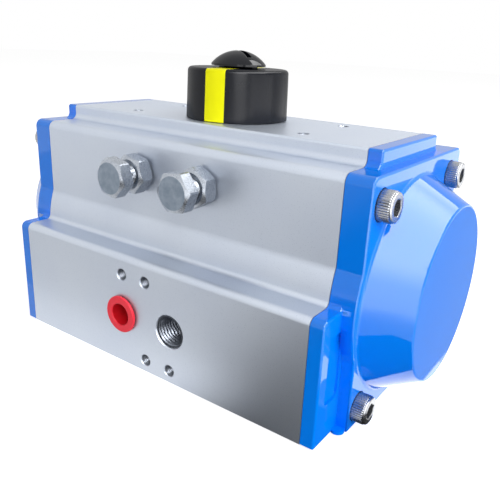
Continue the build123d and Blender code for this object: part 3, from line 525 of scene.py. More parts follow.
class Tone(Enum):
    """The finishes of the actuator's pieces; three of them are darkened with painted shade."""

    ANODISED = Finish("anodised_extrusion", (0.56, 0.612, 0.705), (0.59, 0.64, 0.72), 0.9, (0.36, 0.46),
                      (2400.0, 5200.0, 5200.0), 0.3, 35.0, (0.42, 0.47, 0.57), 1700.0, 0.15)
    # Dark metal for the threads in the holes: its darkness is painted shade inside the holes.
    SHADED_BORE = Finish("bore_metal_painted_shade", (0.2, 0.22, 0.26), (0.24, 0.26, 0.3), 1.0, (0.3, 0.4),
                   even(2400.0), 0.1, 90.0)
    BLUE_PAINT = Finish("blue_paint", (0.0, 0.21, 0.88), (0.0, 0.22, 0.9), 0.0, (0.3, 0.36),
                        even(420.0), 0.03, 20.0, coat=1.0, coat_roughness=0.05, specular=0.0)
    CAST = Finish("cast_aluminium", (0.5, 0.5, 0.51), (0.42, 0.42, 0.43), 0.9, (0.5, 0.65),
                  even(2600.0), 0.4, 120.0)
    PLATED = Finish("plated_shaft_steel", (0.56, 0.54, 0.5), (0.5, 0.49, 0.46), 1.0, (0.24, 0.34),
                    (3000.0, 3000.0, 400.0), 0.1, 60.0)
    ZINC = Finish("bright_zinc", (0.48, 0.515, 0.57), (0.4, 0.435, 0.49), 1.0, (0.22, 0.34),
                  even(2600.0), 0.3, 500.0)
    # A rougher zinc with a darker tone: the darker tone is painted shade on the bolt heads' end faces.
    FORGED_ZINC = Finish("forged_zinc", (0.3, 0.35, 0.42), (0.22, 0.27, 0.33), 1.0, (0.34, 0.5),
                         even(1500.0), 0.6, 420.0)
    STAINLESS = Finish("plain_stainless", (0.44, 0.45, 0.47), (0.36, 0.37, 0.39), 1.0, (0.22, 0.34),
                       even(3200.0), 0.12, 300.0)
    HARDENED = Finish("hardened_steel", (0.11, 0.11, 0.12), (0.08, 0.08, 0.085), 0.9, (0.32, 0.45),
                      even(2600.0), 0.15, 90.0)
    RUBBER = Finish("seal_rubber", (0.02, 0.02, 0.02), (0.028, 0.028, 0.028), 0.0, (0.6, 0.75),
                    even(3400.0), 0.25, 90.0)
    BEARING = Finish("bearing_plastic", (0.68, 0.66, 0.6), (0.62, 0.6, 0.54), 0.0, (0.42, 0.55),
                     even(2400.0), 0.15, 90.0)
    BLACK = Finish("black_moulding", (0.004, 0.005, 0.008), (0.006, 0.007, 0.011), 0.0, (0.3, 0.36),
                   even(1500.0), 0.04, 60.0, coat=0.45, coat_roughness=0.22, specular=0.0)
    GLOSS_BLACK = Finish("polished_black", (0.004, 0.005, 0.008), (0.006, 0.007, 0.011), 0.0, (0.3, 0.36),
                         even(1500.0), 0.03, 60.0, coat=0.6, coat_roughness=0.06, specular=0.0)
    YELLOW = Finish("yellow_moulding", (0.93, 0.9, 0.0), (0.96, 0.93, 0.004), 0.0, (0.3, 0.38),
                    even(1500.0), 0.05, 60.0, specular=0.15)
    RED = Finish("red_moulding", (0.92, 0.03, 0.055), (0.95, 0.038, 0.065), 0.0, (0.35, 0.45),
                 even(1500.0), 0.08, 120.0, specular=0.25)
    # A darker red for the plug's hollow: painted shade in the recess.
    SHADED_RED = Finish("red_moulding_painted_shade", (0.62, 0.006, 0.014), (0.66, 0.008, 0.018), 0.0, (0.35, 0.45),
                      even(1500.0), 0.08, 120.0, specular=0.25)


@dataclass
class Wardrobe:
    """The built materials, one for each finish."""

    effects: Effects

    def __post_init__(self) -> None:
        """Build every finish once."""
        self.built = {tone: tone.value.build(self.effects) for tone in Tone}

    def dress(self, piece: Object, tone: Tone, body: str, slot: str, *nodes: str) -> None:
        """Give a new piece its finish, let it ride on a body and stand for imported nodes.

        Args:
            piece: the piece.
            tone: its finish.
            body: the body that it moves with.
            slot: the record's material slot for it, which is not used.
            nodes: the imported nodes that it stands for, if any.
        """
        piece.data.materials.clear()
        piece.data.materials.append(self.built[tone])
        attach(piece, body)
        if nodes:
            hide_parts(*nodes)
        LOG.info("%s rides on %s with %d faces", piece.name, body, len(piece.data.polygons))

    def dress_part(self, piece: Object, tone: Tone, chosen: Callable[[np.ndarray], np.ndarray]) -> None:
        """Give some faces of a piece a second finish, here always a darker tone of painted shade.

        Args:
            piece: the piece, which has its first finish.
            tone: the second one.
            chosen: says for an array of face centres which of them get it.
        """
        centres = np.empty(len(piece.data.polygons) * 3, np.float32)
        piece.data.polygons.foreach_get("center", centres)
        second = chosen(centres.reshape(-1, 3))
        piece.data.materials.append(self.built[tone])
        piece.data.polygons.foreach_set("material_index", second.astype(np.int32))

    def dress_node(self, node: str, tone: Tone) -> None:
        """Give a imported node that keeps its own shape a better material.

        Args:
            node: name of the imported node.
            tone: its finish.
        """
        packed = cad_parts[node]
        if packed.material_slots:
            for material_slot in packed.material_slots:
                material_slot.material = self.built[tone]
        else:
            packed.data.materials.append(self.built[tone])


# Pieces


class Side(Enum):
    """The two ends of the housing, by the sign of x."""

    LEFT = -1
    RIGHT = 1

    @property
    def word(self) -> str:
        """The side's name in small letters."""
        return self.name.lower()


@dataclass
class Thread:
    """A helical ridge with a slightly flattened crest and root, in millimetres.

    Attributes:
        major: radius over the crest.
        pitch: distance between two turns.
        depth: from the crest to the root.
        steepness: how many times steeper the flank is than one without flats.
        crest: share of the fall that the flat of the crest takes away.
    """

    major: float
    pitch: float
    depth: float
    steepness: float = 1.25
    crest: float = 0.12

    def ridge(self, around: np.ndarray, height: np.ndarray) -> np.ndarray:
        """The radius of an outside thread.

        The phase is height / pitch - angle / 2 pi, less its whole part. The radius falls from the
        crest at phase 0 to the root at phase 1/2 as a straight flank, clipped at both ends.

        Args:
            around: directions round the axis, broadcast against height.
            height: places along the axis.

        Returns:
            The radius at each place.
        """
        phase = np.mod(height / self.pitch - around / TURN, 1.0)
        fall = np.clip(self.steepness * (1.0 - np.abs(2.0 * phase - 1.0)) - self.crest, 0.0, 1.0)
        return self.major - self.depth * fall


@dataclass
class TappedHole:
    """The thread in a drilled hole of the housing, in millimetres.

    Attributes:
        mouth: middle of the hole's mouth.
        outward: direction that the hole opens in.
        wall: radius of the drilled wall.
        pitch: distance between two turns.
        start: where the thread begins, in from the mouth.
        end: where it ends, just short of the drilled floor.
        columns: number of columns round the axis.
        rows_for_pitch: number of rows in one turn's height.
        fullness: height of the ridge, as a share of the pitch.
        root_sink: how far the thread's roots lie outside the drilled wall.
        back: how far behind the drilled wall the cup's outside lies.
        floor: thickness of its closed end.
    """

    mouth: Triple
    outward: Triple
    wall: float
    pitch: float
    start: float
    end: float
    columns: int = 48
    rows_for_pitch: int = 8
    fullness: float = 0.32
    root_sink: float = 0.02
    back: float = 0.1
    floor: float = 0.2

    def surface(self) -> np.ndarray:
        """The thread as a thin cup, z = 0 at the mouth and falling into the hole.

        Its inside is wall + root sink - depth * fall * run-out. The fall is the outside thread's own
        flank form, and the run-out grows from 0 to 1 over a pitch at each end. So the roots lie in
        the drilled wall, and the cup's outside lies in the metal.

        Returns:
            Its grid of points, in millimetres.
        """
        depth = self.fullness * self.pitch
        outer = self.wall + self.back
        count = int((self.end - self.start) / self.pitch * self.rows_for_pitch)
        climb = np.linspace(-self.end, -self.start, count)[:, None]
        ridge = Thread(self.wall, self.pitch, depth).ridge(-angles(self.columns)[None, :], climb)
        run_out = (np.clip((climb + self.end) / self.pitch, 0.0, 1.0)
                   * np.clip(-(climb + self.start) / self.pitch, 0.0, 1.0))
        inner = self.wall + self.root_sink - (self.wall - ridge) * run_out
        bottom = -(self.end + self.floor)
        return turned([(0.0, -self.end), *zip(inner, climb[:, 0]), (outer, -self.start), (outer, bottom),
                       (0.0, bottom)], self.columns)

    def placed(self) -> np.ndarray:
        """The cup's points in the frame."""
        return Seat(tuple(value * MM for value in self.mouth), self.outward).put(self.surface())


@dataclass
class Housing:
    """The extruded housing with the threads in its holes, in millimetres.

    Attributes:
        port: x and z of the open air port.
        pilot: x, and z above the ports, of the pilot valve's holes.
        top: x and y of the holes in the top pad, on both sides.
        small_wall: drilled radius of those small holes.
        small_pitch: pitch of their threads.
        valve_circles: radius, drilled radius, pitch and depth of each circle of valve holes.
    """

    port: Pair = (12.0, 21.2)
    pilot: tuple[Pair, ...] = ((-12.0, 16.0), (0.0, 16.0), (0.0, -16.0), (12.0, -16.0))
    top: Pair = (40.0, 15.0)
    small_wall: float = 2.1
    small_pitch: float = 0.8
    valve_circles: tuple[tuple[float, float, float, float], ...] = (
        (25.0, 2.5, 1.0, 6.8), (35.0, 3.4, 1.25, 10.0))

    def holes(self, face: float, pad: float) -> list[TappedHole]:
        """Every tapped hole that opens outwards.

        Args:
            face: y of the port face, in millimetres.
            pad: z of the top pad, in millimetres.

        Returns:
            The threads: the open port, the pilot valve's holes, the top pattern and both valve circles.
        """
        (x, z), small = self.port, (self.small_wall, self.small_pitch)
        holes = [TappedHole((x, face, z), FRONT, wall=5.9, pitch=1.337, start=0.3, end=12.9, columns=96)]
        holes += [TappedHole((x, face, z + rise), FRONT, *small, start=0.3, end=8.4)
                  for x, rise in self.pilot]
        holes += [TappedHole((x, y, pad), UP, *small, start=0.1, end=7.2)
                  for x in (-self.top[0], self.top[0]) for y in (-self.top[1], self.top[1])]
        for circle, wall, pitch, depth in self.valve_circles:
            reach = circle * math.sqrt(0.5)
            holes += [TappedHole((x, y, 0.0), DOWN, wall, pitch, start=0.1, end=depth)
                      for x in (-reach, reach) for y in (-reach, reach)]
        return holes

    def build(self, wardrobe: Wardrobe) -> None:
        """Make the housing and the threads."""
        shell = copy_of_node("housing_shell", "body")
        wardrobe.dress(shell, Tone.ANODISED, "housing", "anodised_aluminium", "body")
        low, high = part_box("body")
        holes = self.holes(low.y / MM, high.z / MM)
        # The threads take the dark bore tone, which paints shade into the holes.
        threads = grid_object("hole_threads", [hole.placed() for hole in holes])
        wardrobe.dress(threads, Tone.SHADED_BORE, "housing", "anodised_aluminium")


@dataclass
class EndCap:
    """One painted end cap.

    Attributes:
        side: the end that it closes.
        seam: width of the dark line left between it and the housing, in millimetres.
    """

    side: Side
    seam: float = 0.2

    def open_seam(self, mesh: Mesh) -> None:
        """Draw the cap's joint face back from the housing, so that the joint shows as a line.

        Args:
            mesh: the cap's mesh, whose joint face is the one nearest to the middle of the housing.
        """
        points = np.empty(len(mesh.vertices) * 3, np.float32)
        mesh.vertices.foreach_get("co", points)
        points = points.reshape(-1, 3)
        joint = np.abs(points[:, 0]).min()
        on_joint = np.abs(points[:, 0]) < joint + SAME_PLACE
        points[on_joint, 0] += self.side.value * self.seam * MM
        mesh.vertices.foreach_set("co", points.ravel())
        mesh.update()

    def build(self, wardrobe: Wardrobe) -> None:
        """Make the cap."""
        node = f"{self.side.word}_end_cap"
        cap = copy_of_node(f"painted_cap_{self.side.word}", node)
        self.open_seam(cap.data)
        wardrobe.dress(cap, Tone.BLUE_PAINT, "housing", "blue_paint", node)


@dataclass
class CapScrews:
    """The four socket head screws of one end cap, with knurled sides, in millimetres.

    Attributes:
        side: the end that they hold.
        head_radius: radius over the knurl.
        head_height: from the seat to the top of the head.
        crown: height of the plain ring above the knurl's root, and the radius of its edge.
        bevel: size of the bevel under the head.
        shank_radius: radius of the shank.
        shank_length: from the seat to the tip.
        tip: share of the shank's radius that the tip has, and the height of its bevel.
        key: distance across the socket's flats.
        key_depth: depth of the socket.
        sink: size of the socket's countersink past its corners, and its depth.
        drill_point: depth of the drill's point under the socket.
        ridges: number of knurls round the head.
        columns_for_ridge: number of columns in one knurl.
        ridge_height: from a knurl's root to its crest.
        knurl_ends: where the knurl ends, up from the seat and down from the top.
        lean: direction of the first screw's socket and the turn from each screw to the next, in degrees.
    """

    side: Side
    head_radius: float = 5.0
    head_height: float = 6.0
    crown: Pair = (0.8, 0.55)
    bevel: float = 0.25
    shank_radius: float = 3.0
    shank_length: float = 20.0
    tip: Pair = (0.8, 0.4)
    key: float = 5.0
    key_depth: float = 3.0
    sink: Pair = (0.12, 0.2)
    drill_point: float = 0.5
    ridges: int = 40
    columns_for_ridge: int = 6
    ridge_height: float = 0.26
    knurl_ends: Pair = (0.5, 1.1)
    lean: Pair = (17.0, 31.0)

    def surface(self) -> np.ndarray:
        """One screw on its own axis, from the tip of the shank to the middle of the socket's floor.

        The knurl is head_radius - ridge_height * (1 - cos(ridges * angle)) / 2 between its two ends,
        and the socket's wall is a hexagon that opens into a round countersink.

        Returns:
            Its grid of points, in millimetres.
        """
        columns = self.ridges * self.columns_for_ridge
        around = angles(columns)
        knurl = self.head_radius - self.ridge_height * (1.0 - np.cos(self.ridges * around)) / 2.0
        root = self.head_radius - self.ridge_height
        socket = hexagon_radius(around, self.key)
        mouth = self.key / math.sqrt(3.0) + self.sink[0]
        top = self.head_height
        return turned([
            (0.0, -self.shank_length), (self.tip[0] * self.shank_radius, -self.shank_length),
            (self.shank_radius, self.tip[1] - self.shank_length), (self.shank_radius, 0.0),
            (root - self.bevel, 0.0), (root, self.bevel), (knurl, self.knurl_ends[0]),
            (knurl, top - self.knurl_ends[1]),
            *rounded([(root, top - self.crown[0]), (root, top), (mouth, top)], [self.crown[1]]),
            (socket, top - self.sink[1]), (socket, top - self.key_depth),
            (0.0, top - self.key_depth - self.drill_point),
        ], columns)

    def build(self, wardrobe: Wardrobe) -> None:
        """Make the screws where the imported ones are, each turned by its own angle."""
        node = f"{self.side.word}_cap_screws"
        low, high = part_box(node)
        face = high.x if self.side is Side.RIGHT else low.x
        seat_x = face - self.side.value * self.head_height * MM
        reach = self.head_radius * MM
        places = [(y, z) for y in (low.y + reach, high.y - reach) for z in (low.z + reach, high.z - reach)]
        grids = []
        for count, (y, z) in enumerate(places):
            lean = math.radians(self.lean[0] + self.lean[1] * count)
            seat = Seat((seat_x, y, z), (self.side.value, 0.0, 0.0), (0.0, math.cos(lean), math.sin(lean)))
            grids.append(seat.put(self.surface()))
        screws = grid_object(f"socket_screws_{self.side.word}", grids)
        wardrobe.dress(screws, Tone.STAINLESS, "housing", "stainless_steel", node)


@dataclass
class HexPiece:
    """A hexagon with its corners turned off, in millimetres.

    Attributes:
        flats: distance across the flats.
        thickness: distance between the two end faces.
        turn: direction of one corner, in degrees.
        ring: how far the flat end ring stays inside the flats.
        slope: rise of the turned corner for each millimetre of radius.
        bevel: size of the bevel at an end whose corners aren't turned off.
    """

    flats: float
    thickness: float
    turn: float
    ring: float = 0.8
    slope: float = math.tan(math.radians(30.0))
    bevel: float = 0.15

    @property
    def ring_radius(self) -> float:
        """Radius of the flat end ring."""
        return self.flats / 2.0 - self.ring

    def side_rows(self, around: np.ndarray, both_ends: bool) -> list[Row]:
        """Rows of radius and height up the outside, from the near end face to the far one.

        A flat ends where it meets the turning cone: height = thickness - slope * (hexagon radius - ring
        radius), so each flat gets its arched edge.

        Args:
            around: directions of the columns.
            both_ends: turn the corners off at the near end too, as on a nut.

        Returns:
            Rows of (radius, height).
        """
        outline = hexagon_radius(around, self.flats, math.radians(self.turn))
        drop = self.slope * (outline - self.ring_radius)
        near = [(outline - self.bevel, 0.0), (outline, self.bevel)]
        if both_ends:
            near = [(self.ring_radius, 0.0), (outline, drop)]
        return [*near, (outline, self.thickness - drop), (self.ring_radius, self.thickness)]


@dataclass
class StopBolt:
    """A stop bolt: hexagon head, full thread and a plain point, in millimetres.

    Attributes:
        side: the bolt nearer that end of the housing.
        head: its hexagon.
        thread: its thread.
        neck: where the thread ends and where it is at full radius again, below the head.
        point_radius: radius of the plain point.
        point_length: length of the plain point.
        point_round: radius of the point's edge.
        dish: inset of the dish in the end face from its ring, and its depth at the rim and the middle.
        face: depth of the head's end face, which gets a darker zinc of painted shade.
        rows_for_pitch: number of rows in one turn's height.
    """

    side: Side
    head: HexPiece
    thread: Thread
    neck: Pair = (0.4, 0.1)
    point_radius: float = 3.0
    point_length: float = 4.0
    point_round: float = 0.8
    dish: Triple = (0.9, 0.02, 0.08)
    face: float = 0.15
    rows_for_pitch: int = 10

    def surface(self, length: float) -> np.ndarray:
        """The bolt about its axis: z = 0 under the head, the head upwards and the shank down.

        Args:
            length: from under the head to the tip.

        Returns:
            Its grid of points, in millimetres.
        """
        around = angles(COLUMNS)
        major, point, top = self.thread.major, self.point_radius, self.head.thickness
        shank_end = self.point_length - length
        count = int(-shank_end / self.thread.pitch * self.rows_for_pitch)
        climb = np.linspace(shank_end, -self.neck[0], count)[:, None]
        run_in = np.clip((climb - shank_end) / self.thread.pitch, 0.0, 1.0)
        ridge = np.minimum(self.thread.ridge(around[None, :], climb), point + (major - point) * run_in)
        inset, rim, middle = self.dish
        return turned([
            *rounded([(0.0, -length), (point, -length), (point, shank_end)], [self.point_round], steps=4),
            *zip(ridge, climb[:, 0]), (major, -self.neck[1]), (major, 0.0),
            *self.head.side_rows(around, both_ends=False),
            (self.head.ring_radius - inset, top - rim), (0.0, top - middle),
        ], COLUMNS)

    def build(self, wardrobe: Wardrobe) -> None:
        """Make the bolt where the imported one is."""
        node = f"{self.side.word}_stop_bolt"
        low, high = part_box(node)
        length = (high.y - low.y) / MM - self.head.thickness
        seat = front_seat(low, high, low.y + self.head.thickness * MM)
        bolt = grid_object(f"threaded_stop_{self.side.word}", [seat.put(self.surface(length))], TURNED_ANGLE)
        wardrobe.dress(bolt, Tone.ZINC, f"{self.side.word}_stop", "zinc_steel", node)
        # The head's end face gets the darker zinc: painted shade.
        wardrobe.dress_part(bolt, Tone.FORGED_ZINC, lambda centres: centres[:, 1] < low.y + self.face * MM)


@dataclass
class LockNut:
    """The nut that locks a stop bolt, in millimetres.

    Attributes:
        side: the nut on the bolt nearer that end.
        body: its hexagon.
        bore_radius: radius of the bore.
        sink: radial size of the countersink at both ends.
    """

    side: Side
    body: HexPiece
    bore_radius: float = 4.05
    sink: float = 0.5

    def surface(self) -> np.ndarray:
        """The nut about its axis, as a ring that closes in both directions.

        Returns:
            Its grid of points, in millimetres.
        """
        top = self.body.thickness
        bore = self.bore_radius
        sunk = bore + self.sink
        return turned([(sunk, 0.0), *self.body.side_rows(angles(COLUMNS), both_ends=True), (sunk, top),
                       (bore, top - self.sink), (bore, self.sink), (sunk, 0.0)], COLUMNS)

    def build(self, wardrobe: Wardrobe) -> None:
        """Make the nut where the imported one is."""
        node = f"{self.side.word}_lock_nut"
        low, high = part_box(node)
        seat = front_seat(low, high, high.y)
        nut = grid_object(f"turned_nut_{self.side.word}", [seat.put(self.surface())], TURNED_ANGLE)
        wardrobe.dress(nut, Tone.ZINC, f"{self.side.word}_nut", "zinc_steel", node)


@dataclass
class PortPlug:
    """The soft push-in plug in the left air port, in millimetres.

    Attributes:
        flange_radius: radius of its flange.
        flange_thickness: thickness of the flange.
        wall_radius: radius of the part in the port.
        wall: thickness of that part.
        floor: thickness of its closed end.
        nose: how much narrower the closed end is, and the length that it narrows over.
        draft: how much narrower the hollow is at its floor.
        rounds: radii of the outline's corners, from the closed end over the flange to the hollow's floor.
        shade: where the painted shade on the hollow's inside starts, in from the front.
        slack: how far outside the hollow's radius a face may lie and still count as the hollow's.
    """

    flange_radius: float = 7.3
    flange_thickness: float = 1.2
    wall_radius: float = 5.85
    wall: float = 1.5
    floor: float = 1.2
    nose: Pair = (0.5, 0.6)
    draft: float = 0.25
    rounds: tuple[float, ...] = (0.2, 0.3, 0.15, 0.35, 0.5, 0.45, 0.6)
    shade: float = 0.9
    slack: float = 0.05

    def surface(self, length: float) -> np.ndarray:
        """The plug about its axis, z = 0 at the back of the flange.

        Args:
            length: how far it reaches into the port.

        Returns:
            Its grid of points, in millimetres.
        """
        inner, outer, flange = self.wall_radius - self.wall, self.wall_radius, self.flange_radius
        front, floor = self.flange_thickness, self.floor - length
        return turned(rounded(
            [(0.0, -length), (outer - self.nose[0], -length), (outer, self.nose[1] - length), (outer, 0.0),
             (flange, 0.0), (flange, front), (inner, front), (inner - self.draft, floor), (0.0, floor)],
            self.rounds), COLUMNS)

    def build(self, wardrobe: Wardrobe) -> None:
        """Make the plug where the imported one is."""
        low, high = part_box("port_plug")
        length = (high.y - low.y) / MM - self.flange_thickness
        seat = front_seat(low, high, low.y + self.flange_thickness * MM)
        plug = grid_object("soft_port_plug", [seat.put(self.surface(length))])
        wardrobe.dress(plug, Tone.RED, "plug", "red_plastic", "port_plug")
        # The hollow's wall and floor get the darker red, which paints shade into the recess.
        bore = (self.wall_radius - self.wall + self.slack) * MM
        start = low.y + self.shade * MM
        x, _, z = seat.origin
        wardrobe.dress_part(plug, Tone.SHADED_RED, lambda centres: (
            (centres[:, 1] > start) & (np.hypot(centres[:, 0] - x, centres[:, 2] - z) < bore)))


@dataclass
class Indicator:
    """The position indicator with its inlaid stripe and the slotted knob.

    Attributes:
        pieces: name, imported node, finish and slot of each piece.
    """

    pieces: tuple[tuple[str, str, Tone, str], ...] = (
        ("moulded_indicator", "position_indicator", Tone.BLACK, "black_plastic"),
        ("inlaid_stripe", "indicator_stripe", Tone.YELLOW, "yellow_plastic"),
        ("slotted_knob", "indicator_knob", Tone.GLOSS_BLACK, "black_plastic"),
    )

    def build(self, wardrobe: Wardrobe) -> None:
        """Make the three pieces."""
        for name, node, tone, slot in self.pieces:
            piece = copy_of_node(name, node)
            wardrobe.dress(piece, tone, "drive", slot, node)


@dataclass
class InnerPieces:
    """The pieces inside the housing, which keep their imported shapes.

    Attributes:
        tones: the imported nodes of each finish.
    """

    tones: dict[Tone, list[str]]

    def build(self, wardrobe: Wardrobe) -> None:
        """Dress every inner node."""
        for tone, nodes in self.tones.items():
            for node in nodes:
                wardrobe.dress_node(node, tone)
            LOG.info("%s on %d inner pieces", tone.value.name, len(nodes))


# Studio


def panel(name: str, corners: Corners, grey: float, roughness: float) -> tuple[Object, NodeTree, Node]:
    """Make a flat stage piece that can glow white.

    Args:
        name: its name.
        corners: its four corners, in millimetres.
        grey: its base colour.
        roughness: its roughness.

    Returns:
        The object, its material's tree and its shader.
    """
    mesh = bpy.data.meshes.new(name)
    mesh.from_pydata((np.array(corners) * MM).tolist(), [], [(0, 1, 2, 3)])
    material, tree, shader = new_material(name, {
        "Base Color": (grey, grey, grey, 1.0), "Roughness": roughness, "Specular IOR Level": 0.0,
        "Emission Color": WHITE})
    mesh.materials.append(material)
    return in_scene(name, mesh), tree, shader


def level_corners(x_span: Pair, y_span: Pair, height: float) -> Corners:
    """The corners of a level rectangle."""
    (west, east), (south, north) = x_span, y_span
    return (west, south, height), (east, south, height), (east, north, height), (west, north, height)


def upright_corners(first: Pair, last: Pair, z_span: Pair) -> Corners:
    """The corners of a standing rectangle between two places on the floor."""
    low, high = z_span
    return (*first, low), (*last, low), (*last, high), (*first, high)


@dataclass(frozen=True)
class Board:
    """A flat board that only reflections see, which shapes the gloss of the metal and the paint.

    Attributes:
        name: its name.
        corners: its four corners, in millimetres.
        start: its brightness, up to the start of the fade.
        end: its brightness from the end of the fade, or none for a board without a fade.
        fade: where the brightness starts and stops changing, in millimetres.
        axis: the direction in which it changes, X, Y or Z.
        second_look: its brightness in a reflection of a reflection.
    """

    name: str
    corners: Corners
    start: float
    end: float | None = None
    fade: Pair = (0.0, 1.0)
    axis: str = "X"
    second_look: float = 0.35

    def build(self) -> None:
        """Make the board, with a smooth fade, seen dimly by all but the first reflection."""
        board, tree, shader = panel(self.name, self.corners, grey=0.0, roughness=0.5)
        for way in ("camera", "diffuse", "transmission", "volume_scatter", "shadow"):
            setattr(board, f"visible_{way}", False)
        where = add_node(tree, "TexCoord", {}).outputs["Object"]
        along = add_node(tree, "SeparateXYZ", {0: where}).outputs[self.axis]
        level = add_node(tree, "MapRange", {
            "Value": along, "From Min": self.fade[0] * MM, "From Max": self.fade[1] * MM,
            "To Min": self.start, "To Max": self.start if self.end is None else self.end,
        }, interpolation_type="SMOOTHSTEP")
        depth = add_node(tree, "LightPath", {}).outputs["Glossy Depth"]
        first = add_node(tree, "Math", {0: depth, 1: FIRST_REFLECTION}, operation="LESS_THAN")
        seen = add_node(tree, "MapRange", {"Value": first.outputs[0], "To Min": self.second_look,
                                           "To Max": level.outputs["Result"]})
        connect(tree, shader, {"Emission Strength": seen.outputs["Result"]})


BOARDS = (
    Board("foot_board", level_corners((-420.0, 118.0), (-75.0, -22.0), -0.12), 1.1, 0.03, (5.0, 52.0)),
    Board("near_board", level_corners((-420.0, 118.0), (-180.0, -75.0), -0.12), 0.75, 0.03, (-20.0, 48.0)),
    Board("front_board", level_corners((-420.0, 118.0), (-420.0, -180.0), -0.12), 0.64, 0.04,
          (-90.0, -10.0)),
    Board("shade_board", level_corners((100.0, 185.0), (-20.0, 320.0), -0.1), 0.45),
    Board("under_board", level_corners((74.0, 100.0), (-22.0, 30.0), -0.1), 2.0),
    Board("right_board", level_corners((96.0, 560.0), (-650.0, -74.0), -0.08), 1.2, 4.5, (100.0, 240.0)),
    Board("window_board", upright_corners((650.0, -1126.0), (1060.0, -760.0), (70.0, 900.0)), 5.0, 9.0,
          (200.0, 900.0), "Z"),
    Board("gap_board", upright_corners((245.0, -343.0), (375.0, -235.0), (25.0, 62.0)), 4.8),
    Board("strip_board", upright_corners((1230.0, -560.0), (1230.0, 700.0), (0.0, 85.0)), 3.6),
    Board("low_board", level_corners((760.0, 1230.0), (-560.0, 700.0), -0.11), 3.6),
    Board("back_board", upright_corners((-1600.0, 400.0), (400.0, 1700.0), (0.0, 1200.0)), 0.8),
    Board("ceiling_board", level_corners((330.0, 1060.0), (-1126.0, 400.0), 900.0), 9.0),
    Board("far_board", level_corners((185.0, 900.0), (320.0, 1500.0), -0.1), 2.2),
    Board("north_board", ((100.0, 400.0, 900.0), (560.0, 400.0, 900.0), (340.0, 1500.0, 900.0),
                          (100.0, 1500.0, 900.0)), 9.0, 4.5, (400.0, 1000.0), "Y"),
)


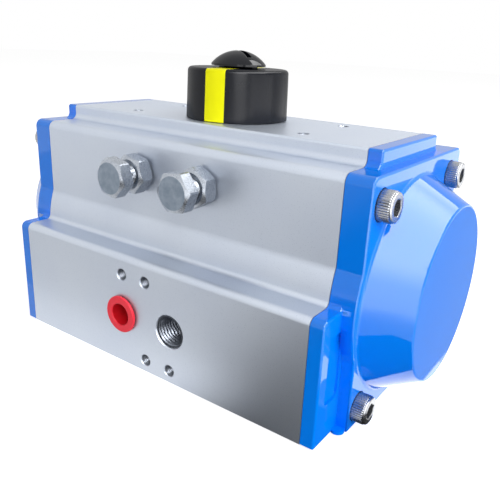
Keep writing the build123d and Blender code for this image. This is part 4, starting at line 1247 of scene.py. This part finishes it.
@dataclass
class Studio:
    """Camera, lamps, world, floor and boards.

    Attributes:
        azimuth: the camera's direction round z from -Y, in degrees.
        elevation: its height above the horizon, in degrees.
        roll: its turn about the line of sight, in degrees.
        distance: from the camera to the point that it looks at, in millimetres.
        target: the point that it looks at, in millimetres.
        focal_pixels: focal length in pixels of the square picture.
        picture_width: width of that picture in pixels.
        room_light: strength of the world on the object.
        floor_reach: from the middle of the floor to its edges, in millimetres.
        floor_height: height of the floor, just under the object, in millimetres.
        floor_grey: base colour of the floor.
        floor_glow: how much the floor glows where it is looked at.
        lamps: name, place and width in metres, and power in watts, of each lamp.
        lamp_aim: the point that the lamps shine at, in metres.
        boards: the boards that the gloss shows.
    """

    azimuth: float = 34.655
    elevation: float = 19.658
    roll: float = 2.731
    distance: float = 211.939
    target: Triple = (27.271, -25.608, 49.46)
    focal_pixels: float = 578.53
    picture_width: float = 500.0
    room_light: float = 0.35
    floor_reach: float = 4000.0
    floor_height: float = -0.3
    floor_grey: float = 0.8
    floor_glow: float = 0.7
    lamps: tuple[tuple[str, Triple, float, float], ...] = (
        ("key_lamp", (0.75, -0.6, 0.8), 0.7, 7.0),
        ("left_lamp", (-1.0, -0.5, 0.6), 0.8, 0.6),
        ("right_lamp", (1.2, 0.25, 0.5), 0.8, 9.0),
    )
    lamp_aim: Triple = (0.0, 0.0, 0.05)
    boards: tuple[Board, ...] = BOARDS

    def camera(self) -> None:
        """Place the camera by its angles: it stands back from the target against its line of sight."""
        turn, rise, roll = (math.radians(value) for value in (self.azimuth, self.elevation, self.roll))
        back = Vector((math.sin(turn) * math.cos(rise), -math.cos(turn) * math.cos(rise), math.sin(rise)))
        level_right = (-back).cross(Vector(UP)).normalized()
        level_up = level_right.cross(-back)
        right = math.cos(roll) * level_right + math.sin(roll) * level_up
        up = -math.sin(roll) * level_right + math.cos(roll) * level_up
        data = bpy.data.cameras.new("photo_camera")
        data.sensor_fit = "HORIZONTAL"
        data.sensor_width = 36.0
        data.lens = self.focal_pixels / self.picture_width * data.sensor_width
        data.clip_start = 0.01
        data.clip_end = 20.0
        camera = in_scene("photo_camera", data)
        axes = Matrix((right, up, back)).transposed().to_4x4()
        camera.matrix_world = Matrix.Translation((Vector(self.target) + back * self.distance) * MM) @ axes
        bpy.context.scene.camera = camera

    def light(self) -> None:
        """Hang the lamps, each a soft square that faces the middle of the housing."""
        for name, place, width, power in self.lamps:
            data = bpy.data.lights.new(name, "AREA")
            data.size = width
            data.energy = power
            lamp = in_scene(name, data)
            lamp.location = place
            lamp.rotation_euler = (Vector(self.lamp_aim) - Vector(place)).to_track_quat("-Z", "Y").to_euler()
            lamp.visible_camera = False
            lamp.visible_glossy = False

    def world(self) -> None:
        """Plain light from all round, and white where the camera or a reflection looks past the floor."""
        world = bpy.data.worlds.new("white_room")
        world.use_nodes = True
        tree = world.node_tree
        connect(tree, tree.nodes["Background"], {
            "Color": WHITE, "Strength": self.where_seen(tree, self.room_light, 1.0)})
        bpy.context.scene.world = world

    @staticmethod
    def where_seen(tree: NodeTree, plain: float, seen: float) -> NodeSocket:
        """A strength that differs for rays that look: the camera's, glossy ones and those through glass.

        Args:
            tree: the tree to work in.
            plain: the strength for all other rays.
            seen: the strength for those that look.

        Returns:
            The socket of the strength.
        """
        path = add_node(tree, "LightPath", {})
        looks = path.outputs["Is Camera Ray"]
        for way in ("Is Glossy Ray", "Is Transmission Ray"):
            looks = add_node(tree, "Math", {0: looks, 1: path.outputs[way]}, operation="MAXIMUM").outputs[0]
        level = add_node(tree, "MapRange", {"Value": looks, "To Min": plain, "To Max": seen})
        return level.outputs["Result"]

    def floor(self) -> None:
        """A pale floor that turns white where it is lit and keeps the object's shadow."""
        span = (-self.floor_reach, self.floor_reach)
        corners = level_corners(span, span, self.floor_height)
        floor, tree, shader = panel("pale_floor", corners, self.floor_grey, roughness=0.9)
        connect(tree, shader, {"Emission Strength": self.where_seen(tree, 0.0, self.floor_glow)})

    def build(self) -> None:
        """Set the whole studio up."""
        bpy.context.scene.view_settings.view_transform = "Standard"
        self.camera()
        self.light()
        self.world()
        self.floor()
        for board in self.boards:
            board.build()


INNER_TONES = {
    Tone.CAST: ["left_piston", "right_piston"],
    Tone.PLATED: ["pinion_shaft"],
    Tone.STAINLESS: ["support_washer"],
    Tone.HARDENED: ["stop_cam", "retaining_ring"],
    Tone.RUBBER: ["left_cap_seal", "right_cap_seal", "left_piston_seal", "right_piston_seal",
                  "lower_shaft_seal", "upper_shaft_seal", "stop_bolt_seals"],
    Tone.BEARING: ["upper_bush", "thrust_ring", "lower_shaft_bearing", "cam_spacer",
                   "left_piston_guide_ring", "right_piston_guide_ring", "left_rack_guide",
                   "right_rack_guide"],
}


def main() -> None:
    """Build the actuator's pieces in order, then the studio."""
    logging.basicConfig(level=logging.INFO, format="%(name)s: %(message)s")
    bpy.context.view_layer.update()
    wardrobe = Wardrobe(Effects())
    bolt_thread = Thread(major=4.0, pitch=1.25, depth=0.6)
    pieces = [
        Housing(), EndCap(Side.LEFT), EndCap(Side.RIGHT), CapScrews(Side.LEFT), CapScrews(Side.RIGHT),
        StopBolt(Side.LEFT, HexPiece(flats=13.0, thickness=5.3, turn=47.0), bolt_thread),
        StopBolt(Side.RIGHT, HexPiece(flats=13.0, thickness=5.3, turn=7.0), bolt_thread),
        LockNut(Side.LEFT, HexPiece(flats=13.0, thickness=6.5, turn=48.0)),
        LockNut(Side.RIGHT, HexPiece(flats=13.0, thickness=6.5, turn=31.0)),
        PortPlug(), Indicator(), InnerPieces(INNER_TONES),
    ]
    for piece in pieces:
        piece.build(wardrobe)
    Studio().build()


if __name__ == "__main__":
    main()
